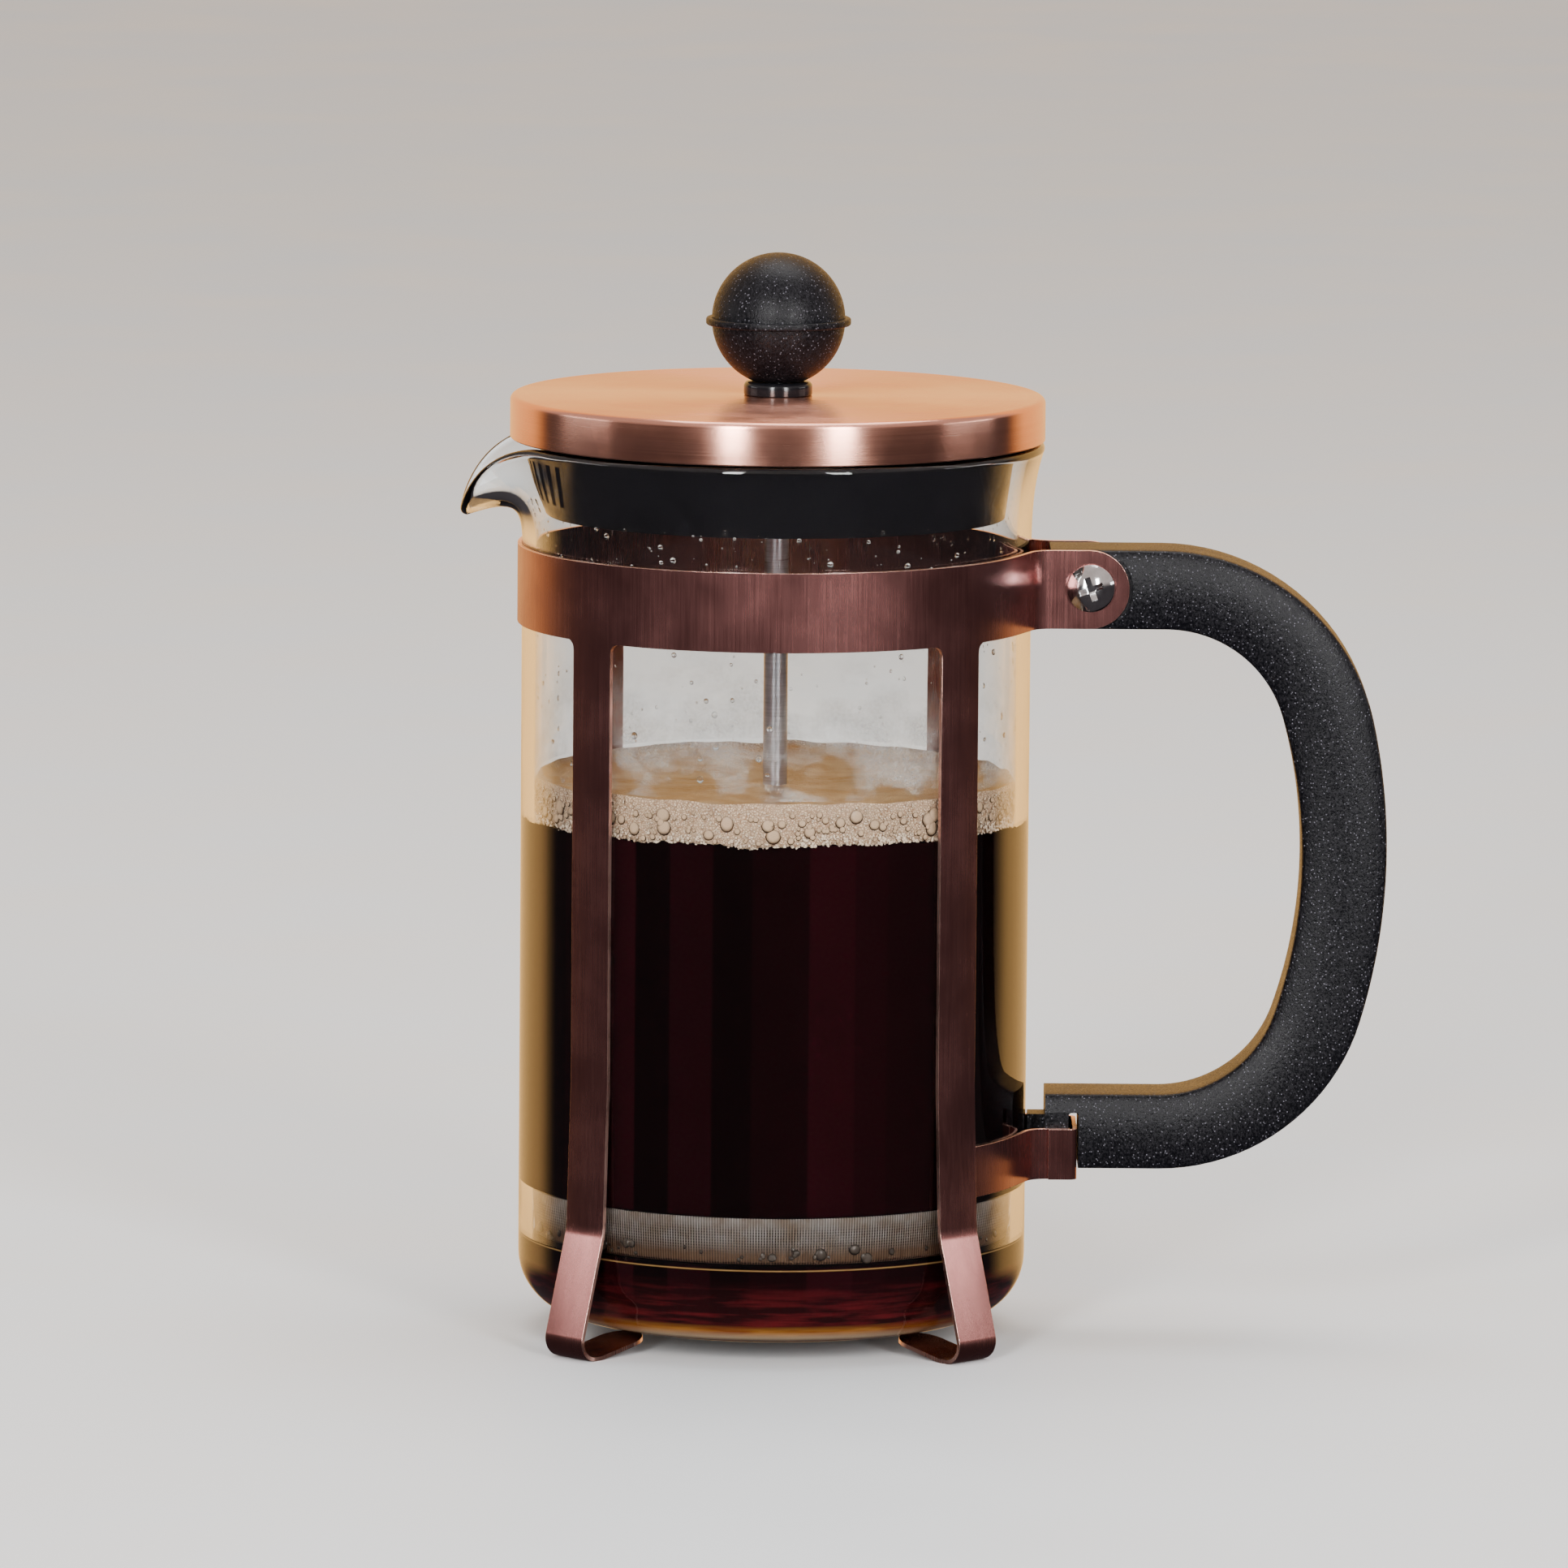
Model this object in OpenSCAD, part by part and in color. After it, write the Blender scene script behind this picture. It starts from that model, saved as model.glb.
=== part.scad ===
// Coffee press: a glass beaker in a stamped metal frame, with a C-shaped handle, a lid and a
// plunger that carries a mesh filter. Millimetres.
// The origin is on the beaker's axis, level with the surface that the feet stand on.
// +Z is up, +X points to the handle and -X to the spout. The plunger is modelled fully pressed.

/* [Beaker] */
// Outside diameter of the straight glass wall
glass_d = 84; // [83:0.5:85]
// Thickness of the glass
glass_wall = 2.2; // [2:0.1:2.4]
// Height of the underside of the glass
glass_base_z = 3.1; // [3.1:0.1:3.4]
// Height where the wall begins to flare
flare_z = 131; // [129:1:133]
// Height of the rim
rim_z = 148.4; // [147.4:0.1:148.4]
// How far the rim flares outwards
flare_out = 2; // [1.5:0.25:2.5]

/* [Frame] */
// Thickness of the stamped sheet
sheet = 0.7; // [0.6:0.1:0.8]
// Lower edge of the band
band_z = 118.1; // [117:0.1:119]
// Height of the band
band_h = 13; // [12:0.5:13]
// Width of a leg
leg_w = 8.5; // [8:0.5:10]
// Lower edge of the strap that joins the rear legs to the handle
strap_z = 26.4; // [26:0.1:27]
// Height of that strap
strap_h = 8.4; // [8:0.1:8.6]

/* [Handle] */
// Half the depth of the handle at the crest of its domed sides
handle_crest = 7.4; // [7.2:0.1:7.8]
// Half the depth of the handle between the ears and between the straps
handle_seat = 6.65; // [6.3:0.05:6.9]

/* [Lid] */
// Outside diameter of the lid cap
lid_d = 88.2; // [87:0.2:89]
// Height of the top of the lid
lid_z = 155.7; // [155.5:0.1:157]
// Height of the lower edge of the lid's skirt
skirt_z = 148.6; // [148.6:0.1:149.4]
// Thickness of the lid's metal
lid_t = 0.8; // [0.6:0.1:0.8]
// Height of the lower edge of the strainer ring
strainer_z = 136.3; // [135:0.1:138]
// Number of pouring slots in the strainer ring
slot_count = 11; // [7:2:15]

/* [Plunger] */
// Diameter of the rod
rod_d = 4; // [3.8:0.1:4.2]
// Radius of the knob's ball
knob_r = 11; // [10.5:0.1:11.2]
// Height of the middle of the knob
knob_z = 168.2; // [168:0.1:169]
// Height of the filter mesh
mesh_z = 17; // [16:0.5:18]
// Height of the filter's upturned rim
mesh_rim_h = 7.8; // [7:0.1:8]
// Turns of the coil spring round the filter
spring_turns = 42; // [36:2:48]

/* [Hidden] */
$fn = 96;

far = 300;
glass_r = glass_d / 2;
bore_r = glass_r - glass_wall;
corner_r = 10;
floor_t = 2.6;
flare_r = (pow(flare_out, 2) + pow(rim_z - flare_z, 2)) / (2 * flare_out);

// The middle of the sheet, where it lies on the glass
sheet_r = glass_r + 0.05 + sheet / 2;
strap_r = sheet_r + 0.6;
bow_z = 45;
kink = [sheet_r + 0.8, 21];
foot_bend_r = 2.95;
foot_c = [glass_r + 2.9, foot_bend_r + sheet / 2];
foot_flat = 1.4;
tongue_r = glass_r - 10.5;
leg_fillet = 1.5;
ear_angle = 22;
ear_bend_r = 4;
ear_t = sheet + 0.1;
ear_y = handle_seat + ear_t / 2;
ear_x = glass_r + 9.6;
ear_r = band_h / 2;
tab_x0 = glass_r + 3.7;
tab_x1 = glass_r + 8.4;

screw_x = glass_r + 9.7;
screw_z = band_z + band_h / 2 + 0.3;
screw_r = 2;
head_r = 3.9;
head_h = 2.4;

// Centre and radius of the corner of radius r that is tangent inside the grip's arc and to a
// level edge at height z: above its centre where up is 1, below it where up is -1
function corner_at(grip, z, r, up) =
    let (cz = z - up * r)
    [[grip[0][0] + sqrt(pow(grip[1] - r, 2) - pow(cz - grip[0][1], 2)), cz], r];

// The handle: level arms, two corners and a long grip, for its outer, inner and middle lines
arm_x0 = glass_r + 3.1;
top_arm = [117.9, 131];
low_arm = [28, 40.4];
grip_out = [[glass_r - 40.9, 81], 100];
grip_in = [[glass_r - 35.4, 80], 80.5];
grip_mid = (grip_out + grip_in) / 2;
top_out = corner_at(grip_out, top_arm[1], 36, 1);
top_in = corner_at(grip_in, top_arm[0], 20, 1);
top_mid = corner_at(grip_mid, (top_arm[0] + top_arm[1]) / 2, 28, 1);
low_out = corner_at(grip_out, low_arm[0], 34.5, -1);
low_in = corner_at(grip_in, low_arm[1], 20, -1);
low_mid = corner_at(grip_mid, (low_arm[0] + low_arm[1]) / 2, 27.25, -1);
dome_r = 18;

bushing_r = 5.65;
sleeve_r = 4;
running = 0.05;
rod_r = rod_d / 2;

hub_r = 4.2;
plate_r = bore_r - 3.6;
coil_r = 2.4;
wire_d = 0.8;

// Points on the arc of centre c and radius r from angle a0 to angle a1
function arc(c, r, a0, a1, n) =
    [for (i = [0 : n]) let (a = a0 + (a1 - a0) * i / n) c + r * [cos(a), sin(a)]];

function reversed(list) = [for (i = [len(list) - 1 : -1 : 0]) list[i]];

// One side of a bent sheet: the path's points moved d to its left, with mitred corners
function beside(path, d) =
    [for (i = [0 : len(path) - 1])
        let (before = path[max(i, 1)] - path[max(i, 1) - 1],
             after = path[min(i + 1, len(path) - 1)] - path[min(i, len(path) - 2)],
             u = before / norm(before), m = u + after / norm(after), w = m / norm(m))
        path[i] + d / (w * u) * [-w[1], w[0]]];

// Sheet of thickness t bent along a path, seen edge on
module bent_sheet(path, t) {
    polygon(concat(beside(path, t / 2), reversed(beside(path, -t / 2))));
}

// The part of the plane between two directions less than 180 degrees apart
module sector(a0, a1) {
    mid = (a0 + a1) / 2;
    polygon([[0, 0], far * [cos(a0), sin(a0)], far * [cos(mid), sin(mid)], far * [cos(a1), sin(a1)]]);
}

// ---- Frame -------------------------------------------------------------------------------

// Section of the pressing, radius by height: the band, down the glass, out to the foot, and back
// under the glass
module pressing_profile() {
    to_c = foot_c - kink;
    heading = atan2(to_c[1], to_c[0]) + asin(foot_bend_r / norm(to_c));
    bent_sheet(concat([[sheet_r, band_z + band_h], [sheet_r, bow_z], kink],
                      arc(foot_c, foot_bend_r, heading + 90, -90, 12),
                      [[foot_c[0] - foot_flat, sheet / 2],
                       [tongue_r, glass_base_z - 0.08 - sheet / 2]]), sheet);
}

// A leg's outline from outside, with a small fillet on each side where it meets the band
module leg_outline() {
    over = 0.2;
    translate([-leg_w / 2, -1]) square([leg_w, band_z + 3]);
    for (side = [-1, 1]) difference() {
        translate([side * (leg_w + leg_fillet) / 2, band_z - leg_fillet / 2])
            square([leg_fillet, leg_fillet + 2], center = true);
        translate([side * (leg_w / 2 + leg_fillet), band_z - leg_fillet + over]) circle(leg_fillet);
    }
}

// What is left of the revolved pressing where a leg is: its outline, and a round end to the tongue
module leg_blank() {
    intersection() {
        translate([tongue_r - 3, 0, 0]) rotate([90, 0, 90]) linear_extrude(30) leg_outline();
        translate([0, 0, -1]) linear_extrude(band_z + 5) union() {
            translate([tongue_r + leg_w / 2, -leg_w]) square([30, 2 * leg_w]);
            translate([tongue_r + leg_w / 2, 0]) circle(d = leg_w);
        }
    }
}

// The band and the four legs, pressed from one blank
module pressing() {
    intersection() {
        rotate_extrude() pressing_profile();
        union() {
            translate([0, 0, band_z]) linear_extrude(band_h + 1) difference() {
                circle(glass_r + 10);
                sector(-ear_angle, ear_angle);
            }
            for (turn = [45:90:315]) rotate(turn) leg_blank();
        }
    }
}

// Path of the sheet, in plan, from the circle of radius r on the +Y side to the handle's side
function lug_path(r, x_end) =
    let (leave = r * [cos(ear_angle), sin(ear_angle)],
         heading = [sin(ear_angle), -cos(ear_angle)],
         c_y = ear_y + ear_bend_r,
         run = (leave[1] - c_y + ear_bend_r * sin(ear_angle)) / cos(ear_angle),
         c = [(leave + run * heading)[0] + ear_bend_r * cos(ear_angle), c_y])
    concat([leave - 0.5 * heading], arc(c, ear_bend_r, 180 + ear_angle, 270, 8), [[x_end, ear_y]]);

// The two ears, a hair thicker and taller than the band, so that they close round its ends
module ears() {
    over = 0.05;
    end_r = ear_r + over;
    intersection() {
        for (side = [0, 1]) mirror([0, side, 0]) translate([0, 0, band_z - over])
            linear_extrude(band_h + 2 * over) bent_sheet(lug_path(sheet_r, glass_r + 20), ear_t);
        translate([0, 30, band_z + ear_r]) rotate([90, 0, 0]) linear_extrude(60)
            polygon(concat([[20, -end_r]], arc([ear_x, 0], end_r, -90, 90, 24), [[20, end_r]]));
    }
}

// The straps that reach from the rear legs to the handle, in plan. The one on the +Y side passes
// through the handle's slot and folds back over the other
module straps_plan() {
    fold_x = tab_x1 - sheet / 2;
    fold_y = -ear_y - sheet - 0.05;
    round_leg = arc([0, 0], strap_r, 48, ear_angle, 8);
    lead = lug_path(strap_r, fold_x);
    after_circle = [for (i = [1 : len(lead) - 1]) lead[i]];
    bent_sheet(concat(round_leg, after_circle, [[fold_x, fold_y], [tab_x0, fold_y]]), sheet);
    short_of_slot = [for (p = after_circle) [min(p[0], fold_x - 0.8), p[1]]];
    mirror([0, 1]) bent_sheet(concat(round_leg, short_of_slot), sheet);
}

module frame() {
    color("#8a4a3a") difference() {
        union() {
            pressing();
            ears();
            translate([0, 0, strap_z]) linear_extrude(strap_h) straps_plan();
        }
        translate([screw_x, 20, screw_z]) rotate([90, 0, 0]) cylinder(r = screw_r + 0.1, h = 40);
    }
}

// ---- Beaker ------------------------------------------------------------------------------

// Half section of a round pot up to height z1, with a rounded corner of radius c at its base
module pot_section(r, z0, c, z1) {
    translate([0, z0]) square([r - c, z1 - z0]);
    translate([0, z0 + c]) square([r, z1 - z0 - c]);
    translate([r - c, z0 + c]) circle(c);
}

// The flare seen from inside or outside: the straight wall's region plus what the arc adds
module flare_section(r, z1) {
    c = [glass_r + flare_r, flare_z];
    difference() {
        translate([0, flare_z - 1]) square([r + flare_out + 3, z1 - flare_z + 1]);
        translate(c) circle(c[0] - r);
        translate([r, flare_z - 2]) square([flare_out + 5, 2]);
    }
}

// The pouring lip as one solid form: a wide beak with a drooping tip
module beak(ball) {
    hull() {
        translate([-(glass_r + 8.8), 0, rim_z - 9.9]) sphere(ball, $fn = 20);
        translate([-(glass_r - 1), 0, rim_z - 11.8]) sphere(ball, $fn = 20);
        for (side = [-1, 1]) {
            translate([-(glass_r + 7.8), side * 2.6, rim_z - 7.2]) sphere(ball, $fn = 20);
            translate([-(glass_r + 5.4), side * 6.2, rim_z - 4.4]) sphere(ball, $fn = 20);
            translate([-(glass_r + 0.4), side * 12, rim_z - 1.4]) sphere(ball, $fn = 20);
        }
    }
}

module glass_beaker() {
    color("#d8d2c8", 0.35) difference() {
        union() {
            rotate_extrude() pot_section(glass_r, glass_base_z, corner_r, flare_z);
            rotate_extrude() intersection() {
                flare_section(glass_r, rim_z);
                square([glass_r + flare_out + 1, rim_z]);
            }
            beak(1.1);
        }
        rotate_extrude() pot_section(bore_r, glass_base_z + floor_t, corner_r - glass_wall, flare_z + 0.5);
        rotate_extrude() flare_section(bore_r, rim_z + 1);
        hull() {
            translate([2.2, 0, 2.2]) beak(0.9);
            translate([2.2, 0, 12]) beak(0.9);
        }
    }
}

// ---- Handle ------------------------------------------------------------------------------

// Points down one side of the C, from the lower arm's end round the grip to the upper arm's end
function c_side(low, grip, top) =
    let (down = low[0] - grip[0], up = top[0] - grip[0],
         drop = atan2(down[1], down[0]), rise = atan2(up[1], up[0]))
    concat([[arm_x0, low[0][1] - low[1]]], arc(low[0], low[1], -90, drop, 16),
           arc(grip[0], grip[1], drop, rise, 12), arc(top[0], top[1], rise, 90, 16),
           [[arm_x0, top[0][1] + top[1]]]);

module handle_outline() {
    polygon(concat(c_side(low_out, grip_out, top_out), reversed(c_side(low_in, grip_in, top_in))));
}

// Section of a bar with two domed sides: across the bar by depth
module lens(crest) {
    intersection_for (side = [-1, 1]) translate([0, side * (dome_r - crest)]) circle(dome_r);
}

// The domed form swept along the middle of the handle. The corners are a hair deeper, so that
// each closes round the ends of the stretches beside it
module handle_dome() {
    deeper = handle_crest + 0.05;
    up = top_mid[0] - grip_mid[0];
    down = low_mid[0] - grip_mid[0];
    rise = atan2(up[1], up[0]);
    drop = atan2(down[1], down[0]);
    for (z = [top_mid[0][1] + top_mid[1], low_mid[0][1] - low_mid[1]]) translate([0, 0, z])
        rotate([90, 0, 90]) linear_extrude(low_mid[0][0]) rotate(90) lens(handle_crest);
    swept_lens(top_mid, rise, 91, deeper);
    swept_lens(low_mid, -91, drop, deeper);
    swept_lens(grip_mid, drop - 0.4, rise + 0.4, handle_crest);
}

module swept_lens(line, a0, a1, crest) {
    translate([line[0][0], 0, line[0][1]]) rotate([90, 0, 0]) rotate(a0)
        rotate_extrude(angle = a1 - a0) translate([line[1], 0]) lens(crest);
}

// The grip, with a nose on its lower arm that steadies it against the glass
module handle() {
    slot_top = strap_z + strap_h + 2.6;
    slot_x1 = tab_x1 + 0.25;
    color("#1b1b1d") difference() {
        union() {
            intersection() {
                translate([0, 10, 0]) rotate([90, 0, 0]) linear_extrude(20) handle_outline();
                handle_dome();
            }
            translate([glass_r + 0.25, -2.5, low_arm[0] + 2]) cube([4, 5, 6.5]);
        }
        for (side = [-1, 1]) {
            translate([0, side * (handle_seat + 5), band_z + ear_r]) rotate([90, 0, 0])
                translate([0, 0, -5]) linear_extrude(10)
                    polygon(concat([[20, -20]], arc([ear_x, 0], ear_r + 0.6, -90, 90, 24), [[20, 20]]));
            translate([0, side * (handle_seat + 5) - 5, low_arm[0] - 1])
                cube([slot_x1, 10, slot_top - low_arm[0] + 1]);
        }
        translate([slot_x1 - 1.65, -10, 0]) cube([1.65, 20, slot_top]);
        translate([screw_x, 20, screw_z]) rotate([90, 0, 0]) cylinder(r = screw_r + 0.1, h = 40);
    }
}

// Screw, washer and nut lie along Y through the ears and the handle
ear_out = ear_y + ear_t / 2;
washer_t = 0.8;
nut_h = 3.2;

module handle_screw() {
    tail = ear_out + washer_t + nut_h;
    color("#c9c9cc") translate([screw_x, 0, screw_z]) rotate([90, 0, 0]) difference() {
        union() {
            translate([0, 0, -tail]) cylinder(r = screw_r, h = tail + ear_out);
            translate([0, 0, ear_out]) intersection() {
                cylinder(r = head_r, h = head_h);
                translate([0, 0, head_h - 5.4]) sphere(5.4);
            }
        }
        for (turn = [0, 90]) rotate(turn + 20)
            translate([-2.3, -0.45, ear_out + head_h - 1.5]) cube([4.6, 0.9, 3]);
    }
}

module screw_washer() {
    color("#b4b4b8") translate([screw_x, ear_out + washer_t, screw_z]) rotate([90, 0, 0]) difference() {
        cylinder(r = 4.5, h = washer_t);
        translate([0, 0, -1]) cylinder(r = screw_r + 0.15, h = 3);
    }
}

module cap_nut() {
    across_flats = 7;
    color("#c9c9cc") translate([screw_x, ear_out + washer_t, screw_z]) rotate([-90, 0, 0]) difference() {
        union() {
            cylinder(d = across_flats / cos(30), h = nut_h, $fn = 6);
            translate([0, 0, nut_h]) intersection() {
                sphere(across_flats / 2 - 0.2);
                cylinder(r = 5, h = 5);
            }
        }
        translate([0, 0, -1]) cylinder(r = screw_r, h = nut_h + 1.4);
    }
}

// ---- Lid ---------------------------------------------------------------------------------

bushing_top = lid_z + 2.3;
plate_z = lid_z - lid_t - 0.05;
plate_t = 1.5;

module lid_cap() {
    edge_r = 1;
    color("#b5654c") rotate_extrude() difference() {
        union() {
            translate([0, skirt_z]) square([lid_d / 2 - edge_r, lid_z - skirt_z]);
            translate([0, skirt_z]) square([lid_d / 2, lid_z - edge_r - skirt_z]);
            translate([lid_d / 2 - edge_r, lid_z - edge_r]) circle(edge_r);
        }
        translate([0, skirt_z - 1]) square([lid_d / 2 - lid_t, lid_z - lid_t - skirt_z + 1]);
        square([sleeve_r + running, far]);
    }
}

// Plate under the lid, a rim that rests on the glass, and a tapered ring with pouring slots
module strainer_ring() {
    ring_t = 1.6;
    top_r = bore_r - 0.3;
    low_r = bore_r - 2.2;
    out_r = lid_d / 2 - lid_t - 0.15;
    rest_z = rim_z + 0.1;
    color("#202024") difference() {
        rotate_extrude() union() {
            translate([sleeve_r + running, plate_z - plate_t]) square([out_r - sleeve_r - running, plate_t]);
            translate([out_r - ring_t, rest_z]) square([ring_t, plate_z - rest_z]);
            translate([top_r - ring_t, rest_z]) square([out_r - top_r + ring_t, 1.6]);
            polygon([[low_r - ring_t, strainer_z], [low_r, strainer_z],
                     [top_r, rest_z + 1], [top_r - ring_t, rest_z + 1]]);
        }
        for (i = [0 : slot_count - 1]) rotate(180 + (i - (slot_count - 1) / 2) * 5)
            translate([low_r - 4, -0.8, strainer_z + 2.4]) cube([8, 1.6, 7]);
    }
}

module lid_bushing() {
    round_r = 0.8;
    foot_z = lid_z + running;
    color("#131315") rotate_extrude() difference() {
        union() {
            translate([0, foot_z]) square([bushing_r, bushing_top - foot_z - round_r]);
            translate([0, foot_z]) square([bushing_r - round_r, bushing_top - foot_z]);
            translate([bushing_r - round_r, bushing_top - round_r]) circle(round_r);
            translate([0, plate_z - plate_t - 2.4]) square([sleeve_r, 6]);
        }
        translate([0, plate_z - plate_t - 1.6]) translate([sleeve_r - 0.6, 0]) square([1, 1]);
        square([rod_r + running, far]);
    }
}

// Split ring that snaps into the bushing's groove under the plate
module bushing_clip() {
    color("#9a9a9e") translate([0, 0, plate_z - plate_t - 1.55]) linear_extrude(0.9) difference() {
        circle(6.6);
        circle(sleeve_r - 0.55);
        translate([0, -1.5]) square([10, 3]);
    }
}

// ---- Plunger -----------------------------------------------------------------------------

knob_foot_z = bushing_top + 0.1;
insert_top_z = knob_z + 1.6;
seam_z = knob_z + 0.3;
flange_t = 1.2;

module knob_base() {
    color("#1e1e20") difference() {
        union() {
            intersection() {
                translate([0, 0, knob_z]) sphere(knob_r);
                translate([0, 0, knob_foot_z]) cylinder(r = 20, h = seam_z - knob_foot_z);
            }
            translate([0, 0, seam_z - flange_t]) cylinder(r = knob_r + 0.95, h = flange_t);
        }
        translate([0, 0, knob_foot_z - 1]) cylinder(r = 3.4, h = 30);
    }
}

module knob_top() {
    color("#1e1e20") difference() {
        translate([0, 0, knob_z]) sphere(knob_r);
        translate([-20, -20, seam_z - 40]) cube([40, 40, 40]);
        translate([0, 0, seam_z - 1]) cylinder(r = 3.4, h = insert_top_z - seam_z + 1.05);
    }
}

module knob_insert() {
    color("#b79a4a") translate([0, 0, knob_foot_z + 0.2]) difference() {
        cylinder(r = 3.4, h = insert_top_z - knob_foot_z - 0.2);
        translate([0, 0, -1]) cylinder(r = rod_r, h = 10.2);
    }
}

module plunger_rod() {
    low_z = mesh_z - 6;
    color("#bdbdc0") translate([0, 0, low_z]) cylinder(r = rod_r, h = knob_foot_z + 9.3 - low_z);
}

// Height of the underside of the spring plate
spring_z = mesh_z + 0.45;
plate_sheet = 0.8;

module rod_collar() {
    color("#a8a8ac") translate([0, 0, spring_z + plate_sheet]) difference() {
        cylinder(r = hub_r, h = 4, $fn = 6);
        translate([0, 0, -1]) cylinder(r = rod_r, h = 6);
    }
}

// Ring of count round holes of radius r at radius at
module hole_ring(count, at, r) {
    for (i = [0 : count - 1]) rotate(i * 360 / count) translate([at, 0]) circle(r);
}

module spring_plate() {
    color("#b0b0b4") translate([0, 0, spring_z]) linear_extrude(plate_sheet) difference() {
        circle(plate_r);
        circle(rod_r + 0.1);
        hole_ring(6, plate_r * 0.4, 5);
        hole_ring(12, plate_r * 0.74, 4);
    }
}

// Points round a coil that stands on the plate's edge and runs all round it, closed on itself
function coil_point(t, side) =
    let (along = 360 * t, wind = 360 * spring_turns * t,
         c = plate_r - 0.8 + coil_r * cos(wind), z = coil_r * sin(wind))
    [c * cos(along), c * sin(along), z]
    + wire_d / 2 * (cos(side) * [cos(wind) * cos(along), cos(wind) * sin(along), sin(wind)]
                    + sin(side) * [-sin(along), cos(along), 0]);

module edge_spring() {
    steps = spring_turns * 6;
    sides = 4;
    points = [for (i = [0 : steps - 1]) for (j = [0 : sides - 1]) coil_point(i / steps, 360 * j / sides)];
    faces = [for (i = [0 : steps - 1]) for (j = [0 : sides - 1])
        let (a = i * sides, b = ((i + 1) % steps) * sides, k = (j + 1) % sides) [a + j, b + j, b + k, a + k]];
    coil_z = spring_z + plate_sheet + coil_r + wire_d / 2;
    color("#c2c2c6") translate([0, 0, coil_z]) polyhedron(points, faces);
}

module filter_mesh() {
    mesh_t = 0.4;
    rim_r = bore_r - 0.35;
    color("#b9ab92") rotate_extrude() union() {
        translate([rod_r + 0.1, mesh_z]) square([rim_r - 1 - rod_r, mesh_t]);
        polygon([[rim_r - 1.2 - mesh_t, mesh_z], [rim_r - 0.8, mesh_z],
                 [rim_r, mesh_z + mesh_rim_h], [rim_r - mesh_t, mesh_z + mesh_rim_h]]);
    }
}

module cross_plate() {
    color("#a9a9ad") translate([0, 0, mesh_z - 0.05 - plate_sheet]) linear_extrude(plate_sheet) difference() {
        circle(plate_r);
        circle(rod_r + 0.1);
        for (turn = [45:90:315]) rotate(turn) translate([plate_r * 0.6, 0]) circle(9.5);
        hole_ring(4, plate_r * 0.82, 3);
    }
}

module cross_hub() {
    color("#8f8f94") translate([0, 0, mesh_z - 0.05 - plate_sheet - 6]) difference() {
        union() {
            cylinder(r = hub_r, h = 6);
            cylinder(r = hub_r + 1.4, h = 1.2);
        }
        translate([0, 0, 0.8]) cylinder(r = rod_r, h = 10);
    }
}

frame();
glass_beaker();
handle();
handle_screw();
screw_washer();
cap_nut();
lid_bushing();
bushing_clip();
lid_cap();
strainer_ring();
knob_top();
knob_base();
knob_insert();
plunger_rod();
rod_collar();
spring_plate();
edge_spring();
filter_mesh();
cross_plate();
cross_hub();
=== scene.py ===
"""Looks of a coffee press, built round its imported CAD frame. Lengths are millimetres, made metres by MM."""

import math
import random

import bmesh
import bpy
from mathutils import Matrix, Vector, noise


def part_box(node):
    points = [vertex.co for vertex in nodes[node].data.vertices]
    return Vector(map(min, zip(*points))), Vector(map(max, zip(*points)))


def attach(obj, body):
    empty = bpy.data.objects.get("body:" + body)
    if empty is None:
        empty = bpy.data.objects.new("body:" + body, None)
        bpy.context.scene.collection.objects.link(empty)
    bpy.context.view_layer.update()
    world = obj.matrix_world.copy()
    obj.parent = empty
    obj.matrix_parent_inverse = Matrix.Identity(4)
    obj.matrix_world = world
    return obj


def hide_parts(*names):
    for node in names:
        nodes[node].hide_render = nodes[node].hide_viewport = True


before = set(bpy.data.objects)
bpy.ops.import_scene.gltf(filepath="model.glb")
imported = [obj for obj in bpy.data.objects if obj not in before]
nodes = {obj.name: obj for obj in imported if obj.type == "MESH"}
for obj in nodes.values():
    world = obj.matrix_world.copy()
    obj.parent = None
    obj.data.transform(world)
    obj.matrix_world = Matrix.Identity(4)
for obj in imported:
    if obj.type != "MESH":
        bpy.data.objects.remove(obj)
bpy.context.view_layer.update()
MM = 0.001


# ---- Sizes of the CAD model --------------------------------------------------------------

GLASS_R = 42
WALL = 2.2
BORE_R = GLASS_R - WALL
BASE_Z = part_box("glass_beaker")[0].z / MM
RIM_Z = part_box("glass_beaker")[1].z / MM
FLOOR_Z = BASE_Z + 2.6
CORNER_R = 10
FLARE_Z = 131

SHEET = 0.7
SHEET_R = 42.4
BAND_Z = 118.1
BAND_TOP = 131.1
LEG_ANGLES = (45, 135, 225, 315)
LEG_HALF = 4.25
LEG_FILLET = 1.5
EAR_ANGLE = 22
EAR_Y = 7.05
EAR_X = 51.6
STRAP_Z = (26.4, 34.8)
FOLD_X = 50.05

SCREW_X = 51.7
SCREW_Z = 124.9

LID_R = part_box("lid_cap")[1].x / MM
LID_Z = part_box("lid_cap")[1].z / MM
SKIRT_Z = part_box("lid_cap")[0].z / MM
LID_T = 0.8

KNOB_R = 11
KNOB_Z = 168.2
SEAM_Z = 168.5
KNOB_FOOT_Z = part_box("knob_base")[0].z / MM
MESH_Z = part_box("filter_mesh")[0].z / MM
MESH_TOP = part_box("filter_mesh")[1].z / MM
MESH_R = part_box("filter_mesh")[1].x / MM


# ---- Sizes of what is in the beaker ------------------------------------------------------

COFFEE_Z = 86               # middle of the uneven line where froth meets coffee
FROTH_Z = 92.3              # top of the froth
FACE_R = BORE_R - 0.4       # side of the froth, behind the bubbles on the glass
MIST_H = 20                 # how far mist reaches above the froth
PAINTED_REFLECTION_WIDTH = 7              # width of an upright band of painted reflection in the coffee's colour


# ---- Shapes ------------------------------------------------------------------------------

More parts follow.
